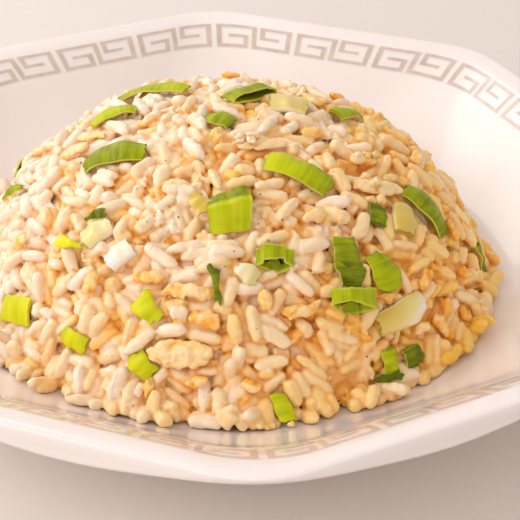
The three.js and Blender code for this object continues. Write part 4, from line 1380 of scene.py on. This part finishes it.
def slice_section(rows, edge=3):
    """The outline of a slice cut across: places from one edge to the other and back, with the
    share of the thickness, 0 below and 1 above, and how much of each place is cut flesh."""
    top = np.linspace(-1, 1, rows)
    v = np.concatenate([top, np.full(edge, 1.0), top[::-1], np.full(edge, -1.0)])
    step = np.linspace(1, 0, edge + 2)[1:-1]
    w = np.concatenate([np.ones(rows), step, np.zeros(rows), step[::-1]])
    bulge = np.concatenate([np.zeros(rows), np.sin(np.pi * step), np.zeros(rows), -np.sin(np.pi * step)])
    cut = np.concatenate([np.zeros(rows), np.ones(edge), np.zeros(rows), np.ones(edge)])
    return v, w, bulge, cut


ROUNDED = 0.11  # how far a slice's ends and edges draw in at its corners
RING_POINTS, RING_ROWS, RING_WALL = 56, 9, 0.55  # round an open slice, along it and its thickness
LEEK_THICKNESS = 2.1


def leaf_slice(piece, seed, thickness):
    """A strip of leaf that follows the mound, arched or folded, with curled corners."""
    random = np.random.default_rng(900 + seed)
    length, width, thick = piece["size"]
    columns, rows = max(14, round(length * 2.6)), max(9, round(width * 1.8))
    v, w, bulge, cut = slice_section(rows)
    ss, vv = np.meshgrid(np.linspace(-1, 1, columns), v, indexing="ij")
    phase = random.uniform(0, 6, 4)
    wave = 0.22 * np.sin(4 * ss + phase[0]) * vv + 0.13 * np.sin(7 * ss + phase[1])
    ragged = 1 + 0.02 * np.sin(9 * vv + phase[2]) + 0.015 * np.sin(17 * vv + phase[3])
    u = length / 2 * ss * np.sqrt(1 - ROUNDED * vv ** 2) * ragged
    across = width / 2 * vv * np.sqrt(1 - ROUNDED * ss ** 2) * (1 + 0.02 * np.sin(6 * ss + phase[1]))
    across *= 1 + piece["taper"] * ss
    low, high = piece["slant"]
    across += ss * (low * (1 - vv) + high * (1 + vv)) / 2 + 0.12 * thickness * bulge
    u = u + piece["skew"] * vv
    tear = piece["tear"]
    u = u + tear * np.abs(ss) ** 3 * (np.sin(3.4 * vv + phase[0] + 2 * ss) + 0.5 * np.sin(7 * vv + phase[1]))
    across = across + 0.7 * tear * np.abs(vv) ** 3 * (
        np.sin(3 * ss + phase[2] + 2 * vv) + 0.4 * np.sin(7 * ss + phase[3]))
    top = GAP + piece["lift"] + piece["crown"] * (1 - ss ** 2) + thick * (1 - 0.3 * vv ** 2)
    top += piece["fold"] * (1 - np.abs(vv)) + wave + piece["curl"] * vv ** 2
    points = laid(piece, u, across, top - min(thickness, thick) * (1 - w)).reshape(-1, 3)
    # The tone changes along the slice, or across it at an angle.
    grade = math.radians(piece["grade"])
    share = np.clip((ss * math.cos(grade) + vv * math.sin(grade) + 1) / 2, 0, 1)
    first, last = piece["tone"]
    tone = (first + (last - first) * share).ravel()
    if piece["fold"]:
        tone = tone + 0.42 * np.clip((vv.ravel() - 0.25) * 8, 0, 1)
    # Each torn end is closed from edge to edge.
    count = len(v)
    caps = []
    for column, sign in ((0, 1), (columns - 1, -1)):
        loop = column * count + np.arange(count)
        for k in range(count // 2 - 1):
            quad = [loop[k - 1], loop[k], loop[count - 3 - k], loop[count - 2 - k]]
            caps.append(quad[::sign])
    uv = np.stack([u, across], axis=-1).reshape(-1, 2)
    return points, [tube_faces(columns, count)[:, ::-1], np.array(caps)[:, ::-1]], tone, np.tile(cut, columns), uv


def leaf_ring(piece, seed):
    """A slice of hollow leaf still open: a crumpled tube whose hole runs across the piece."""
    random = np.random.default_rng(1900 + seed)
    length, width, height = piece["size"]
    angle = 2 * np.pi * np.arange(RING_POINTS) / RING_POINTS
    crumple = 1 + piece["crumple"] * (
        0.13 * np.sin(3 * angle + random.uniform(0, 6)) + 0.09 * np.sin(5 * angle + random.uniform(0, 6)))
    crumple += 0.03 * np.sin(9 * angle + random.uniform(0, 6))
    along = np.linspace(-1, 1, RING_ROWS)
    rows = []
    for wall, shares in ((0, along), (RING_WALL, along[::-1])):
        for share in shares:
            flare = 1 - 0.05 * (1 - abs(share)) * np.cos(2 * angle)
            lean = 0.25 * share * np.sin(2 * angle + seed)
            # The near end is cut slantwise, so its top stands back from its foot.
            lean = lean + 0.22 * width * (1 - share) * (1 + np.sin(angle)) / 2
            lean = lean + abs(share) ** 5 * (0.16 * np.sin(4 * angle + seed) + 0.06 * np.sin(11 * angle))
            x = (length / 2 - wall) * np.cos(angle) * crumple * flare
            z = GAP + height / 2 + (height / 2 - wall) * np.sin(angle) * (2 - crumple) * flare
            cut = np.full(RING_POINTS, 0.8 if abs(share) > 0.99 else 0.0)
            rows.append((x, width / 2 * share + lean, np.maximum(z, GAP), cut))
    u, across, rise, cut = np.array(rows).transpose(1, 0, 2)
    points = laid(piece, u, across, rise).reshape(-1, 3)
    outer, inner = piece["tone"]
    half = RING_ROWS * RING_POINTS
    # The inner wall is drawn a tenth darker, as painted shade inside the hollow.
    tone = np.repeat([outer, min(1.0, inner + 0.1)], half)
    uv = np.stack([np.tile(angle * (length + height) / 4, len(rows)), across.ravel()], axis=-1)
    a = np.arange(2 * half).reshape(len(rows), RING_POINTS)
    b = np.roll(a, -1, axis=0)
    quads = np.stack([a, np.roll(a, -1, axis=1), np.roll(b, -1, axis=1), b], axis=-1).reshape(-1, 4)
    # An inner skin, drawn together, closes the hollow behind the middle. It takes the darkest leaf tone, as
    # painted shade in the hollow.
    ring = a[2 * RING_ROWS - 4]
    points = np.vstack([points, points[ring].mean(axis=0) + 0.4])
    web = np.stack([ring, np.roll(ring, -1), np.full(RING_POINTS, len(points) - 1)], axis=-1)
    return (points, [quads[:, ::-1], np.vstack([web, web[:, ::-1]])], np.append(tone, 1.0),
            np.append(cut, 0.0), np.vstack([uv, uv[:1]]))


def part_or_scrap(index, parts, node, part, scrap):
    """The name of a topping's piece, and the node that it stands for if it isn't a scrap."""
    if index < parts:
        return numbered(part, index), [numbered(node, index)]
    return numbered(scrap, index - parts), []


class FRIEDRICE_OT_scallions(bpy.types.Operator):
    """Builds the slices of green scallion leaf"""

    bl_idname = "fried_rice.scallions"
    bl_label = "Scallions"

    def execute(self, context):
        settings = context.scene.fried_rice_toppings
        material, soft_material = scallion_leaf(settings), leek_stem()
        thickness = settings.leaf_thickness / MM
        for index, piece in enumerate(SCALLIONS + LEAF_SCRAPS):
            build = leaf_ring(piece, index) if piece["open"] else leaf_slice(piece, index, thickness)
            points, faces, tone, cut, uv = build
            name, nodes = part_or_scrap(index, len(SCALLIONS), "scallion", "scallion_slice", "leaf_scrap")
            make_piece(name, points, faces, soft_material if piece["soft"] else material, nodes,
                       {"tone": tone, "cut": cut}, uv)
        return {"FINISHED"}


class FRIEDRICE_OT_leeks(bpy.types.Operator):
    """Builds the pale pieces of leek"""

    bl_idname = "fried_rice.leeks"
    bl_label = "Leeks"

    def execute(self, context):
        material = bpy.data.materials.get("softened_leek_stem") or leek_stem()
        for index, piece in enumerate(LEEKS):
            points, faces, tone, cut, uv = leaf_slice(piece, 50 + index, LEEK_THICKNESS)
            make_piece(
                numbered("leek_piece", index), points, faces, material, [numbered("leek", index)],
                {"tone": tone * (1 - 0.7 * cut)}, uv)
        return {"FINISHED"}


# ---------------------------------------------------------------------------------------------
# Egg
# ---------------------------------------------------------------------------------------------


def egg_lump(piece, index):
    """A torn lump of egg: soft curds that have set together."""
    random = np.random.default_rng(2900 + index)
    length, width, thick = piece["size"]
    count = max(6, round(length * width / 5.5))
    copies = []
    for k in range(count):
        half = random.uniform((0.14, 0.26, 0.3), (0.24, 0.42, 0.46)) * piece["size"]
        half[0] = max(half[0], 1.2)
        s = -1 + 2 * (k + 0.5) / count
        t = random.uniform(-1, 1) * math.sqrt(max(0.0, 1 - s * s))
        middle = np.array([
            s * (length / 2 - half[0]), t * (width / 2 - half[1]),
            half[2] + random.uniform(0.2, 1) * (thick - 2 * half[2])])
        shape, quads, ends = lump_template(random, 0.3, 16, 11)
        turn = random.uniform(-0.6, 0.6)
        spin = np.array([
            [math.cos(turn), math.sin(turn), 0], [-math.sin(turn), math.cos(turn), 0], [0, 0, 1]])
        u, v, rise = (((shape * 2 * half) @ spin) + middle).T
        copies.append((laid(piece, u, v, GAP + piece["lift"] + np.clip(rise, 0, thick)), quads, ends))
    points, faces, _ = joined(copies)
    points, quads = fused(points, faces, 0.32, 4)
    normals = vertex_normals(points, quads)
    # Folds where the curd was pushed together. The sunken lines between them are made browner, as painted shade.
    folds = np.clip(np.abs([noise.noise(Vector(point) * 0.17) for point in points]) / 0.26, 0, 1)
    crumple = np.array([noise.fractal(Vector(point) * 0.5, 0.8, 2.0, 3) for point in points])
    points = points + normals * (0.42 * folds + 0.27 * crumple - 0.3)[:, None]
    # The piece is browner low down and in its dents, and paler where it stands out: painted shade, with some
    # browning where it lay on the pan.
    height = np.clip((above_core(points) - GAP - piece["lift"]) / thick, 0, 1)
    tone = piece["tone"] + 1.0 * (0.5 - height) + 0.5 * (1 - folds) ** 2 - 0.45 * crumple
    return points, [quads], np.clip(tone, 0, 1)


class FRIEDRICE_OT_eggs(bpy.types.Operator):
    """Builds the pieces of scrambled egg"""

    bl_idname = "fried_rice.eggs"
    bl_label = "Eggs"

    def execute(self, context):
        settings = context.scene.fried_rice_toppings
        material = bpy.data.materials.get("pan_fried_egg_curds") or scrambled_egg(settings)
        for index, piece in enumerate(EGGS + EGG_SCRAPS):
            points, faces, tone = egg_lump(piece, index)
            name, nodes = part_or_scrap(index, len(EGGS), "egg", "egg_lump", "egg_scrap")
            make_piece(name, points, faces, material, nodes, {"tone": tone})
        return {"FINISHED"}


# ---------------------------------------------------------------------------------------------
# Pepper
# ---------------------------------------------------------------------------------------------


PEPPER_FLAKES, FLAKE_SIZES, FLAKE_THICKNESS = 170, (0.22, 0.6), 0.3


class FRIEDRICE_OT_pepper(bpy.types.Operator):
    """Drops flakes of ground pepper onto the grains"""

    bl_idname = "fried_rice.pepper"
    bl_label = "Pepper"

    def execute(self, context):
        random = np.random.default_rng(77)
        names = [piece.name for piece in bpy.data.objects if piece.name.startswith(("stuck_rice", "rice_grains"))]
        depsgraph = context.evaluated_depsgraph_get()
        surfaces = [BVHTree.FromObject(bpy.data.objects[name], depsgraph) for name in names]
        copies = []
        for place in scatter_on_core(random, PEPPER_FLAKES):
            out = core_normal(place)
            origin, way = Vector((place + 12 * out) * MM), Vector(-out)
            hits = [surface.ray_cast(origin, way) for surface in surfaces]
            hits = [hit for hit in hits if hit[0] is not None]
            if not hits:
                continue
            spot, normal, _, _ = min(hits, key=lambda hit: hit[3])
            shape, quads, ends = lump_template(random, 0.42, 6, 4)
            size = random.uniform(*FLAKE_SIZES)
            turn = normal.to_track_quat("Z", "Y").to_matrix() @ Matrix.Rotation(random.uniform(0, 6), 3, "Z")
            scale = np.array([size, size * random.uniform(0.4, 0.8), FLAKE_THICKNESS])
            copies.append(((shape * scale) @ np.array(turn).T + np.array(spot) / MM, quads, ends))
        points, faces, _ = joined(copies)
        make_piece("pepper_flakes", points, faces, ground_pepper())
        return {"FINISHED"}


# ---------------------------------------------------------------------------------------------
# Stage
# ---------------------------------------------------------------------------------------------


TARGET = (17.2, -29.3, 31.5)  # what the camera looks at
SENSOR_WIDTH, NEAREST = 36, 0.01  # of the camera, in millimetres, and where it starts to see, in metres
FLOOR_HALF = 3  # metres
AIM = (0, 0, 0.03)  # where the lights point, in metres
# Each light: name, place and size in metres, power as a share of the key light's, colour.
LIGHTS = (
    ("key_light", (-0.7, -0.26, 0.48), 0.5, 1, "#fff9f7"),
    ("fill_light", (-0.15, -0.75, 0.6), 0.9, 0.66, "#fff9f7"),
    ("back_light", (-0.72, 0.5, 0.6), 0.7, 0.85, "#fffaf8"),
)
ROOM_COLOUR, ROOM_STRENGTH = "#fff5ef", 0.7


class FRIEDRICE_OT_stage(bpy.types.Operator):
    """Builds the floor, the lights and the camera"""

    bl_idname = "fried_rice.stage"
    bl_label = "Stage"

    def execute(self, context):
        settings = context.scene.fried_rice_stage
        mesh = bpy.data.meshes.new("floor")
        corners = [(x * FLOOR_HALF, y * FLOOR_HALF, 0) for x, y in ((-1, -1), (1, -1), (1, 1), (-1, 1))]
        mesh.from_pydata(corners, [], [(0, 1, 2, 3)])
        mesh.materials.append(painted_floor(settings))
        floor = bpy.data.objects.new("floor", mesh)
        context.scene.collection.objects.link(floor)

        # The camera's direction is given by azimuth and elevation, and it is turned by its roll.
        a, e = settings.azimuth, settings.elevation
        right = Vector((math.cos(a), math.sin(a), 0))
        back = Vector((math.sin(a) * math.cos(e), -math.cos(a) * math.cos(e), math.sin(e)))
        up = back.cross(right)
        turned = right * math.cos(settings.roll) + up * math.sin(settings.roll)
        matrix = Matrix((turned, back.cross(turned), back)).transposed().to_4x4()
        matrix.translation = Vector(TARGET) * MM + back * settings.distance
        lens = bpy.data.cameras.new("camera")
        lens.lens, lens.sensor_width, lens.clip_start = settings.lens, SENSOR_WIDTH, NEAREST
        camera = bpy.data.objects.new("camera", lens)
        camera.matrix_world = matrix
        context.scene.collection.objects.link(camera)
        context.scene.camera = camera

        for name, place, size, share, colour in LIGHTS:
            light = bpy.data.lights.new(name, "AREA")
            light.shape, light.size = "SQUARE", size
            light.energy, light.color = share * settings.key_power, linear(colour)
            lamp = bpy.data.objects.new(name, light)
            lamp.location = place
            lamp.rotation_euler = (Vector(place) - Vector(AIM)).to_track_quat("Z", "Y").to_euler()
            context.scene.collection.objects.link(lamp)
        world = bpy.data.worlds.new("soft_room")
        world.use_nodes = True
        room = world.node_tree.nodes["Background"].inputs
        room["Color"].default_value, room["Strength"].default_value = rgba(linear(ROOM_COLOUR)), ROOM_STRENGTH
        context.scene.world = world
        context.scene.view_settings.view_transform = "Standard"
        return {"FINISHED"}


# ---------------------------------------------------------------------------------------------
# Panel and registration
# ---------------------------------------------------------------------------------------------

OPERATORS = (
    FRIEDRICE_OT_plate, FRIEDRICE_OT_rice, FRIEDRICE_OT_scallions, FRIEDRICE_OT_leeks, FRIEDRICE_OT_eggs,
    FRIEDRICE_OT_pepper, FRIEDRICE_OT_stage,
)
SETTINGS = {
    "fried_rice_plate": PlateSettings, "fried_rice_rice": RiceSettings,
    "fried_rice_toppings": ToppingSettings, "fried_rice_stage": StageSettings,
}


class FRIEDRICE_PT_panel(bpy.types.Panel):
    """Lists the sizes, the colours and the steps that build the plate of fried rice"""

    bl_label = "Fried Rice Plate"
    bl_idname = "FRIEDRICE_PT_panel"
    bl_space_type = "VIEW_3D"
    bl_region_type = "UI"
    bl_category = "Fried Rice"

    def draw(self, context):
        for key, group in SETTINGS.items():
            box = self.layout.box()
            for name in group.__annotations__:
                box.prop(getattr(context.scene, key), name)
        for operator in OPERATORS:
            self.layout.operator(operator.bl_idname)


def register():
    for group in SETTINGS.values():
        bpy.utils.register_class(group)
    for operator in OPERATORS:
        bpy.utils.register_class(operator)
    bpy.utils.register_class(FRIEDRICE_PT_panel)
    for key, group in SETTINGS.items():
        setattr(bpy.types.Scene, key, bpy.props.PointerProperty(type=group))


def unregister():
    for key in SETTINGS:
        delattr(bpy.types.Scene, key)
    bpy.utils.unregister_class(FRIEDRICE_PT_panel)
    for operator in reversed(OPERATORS):
        bpy.utils.unregister_class(operator)
    for group in reversed(list(SETTINGS.values())):
        bpy.utils.unregister_class(group)


def main():
    register()
    bpy.ops.fried_rice.stage()
    bpy.ops.fried_rice.plate()
    bpy.ops.fried_rice.rice()
    bpy.ops.fried_rice.scallions()
    bpy.ops.fried_rice.leeks()
    bpy.ops.fried_rice.eggs()
    bpy.ops.fried_rice.pepper()


if __name__ == "__main__":
    main()
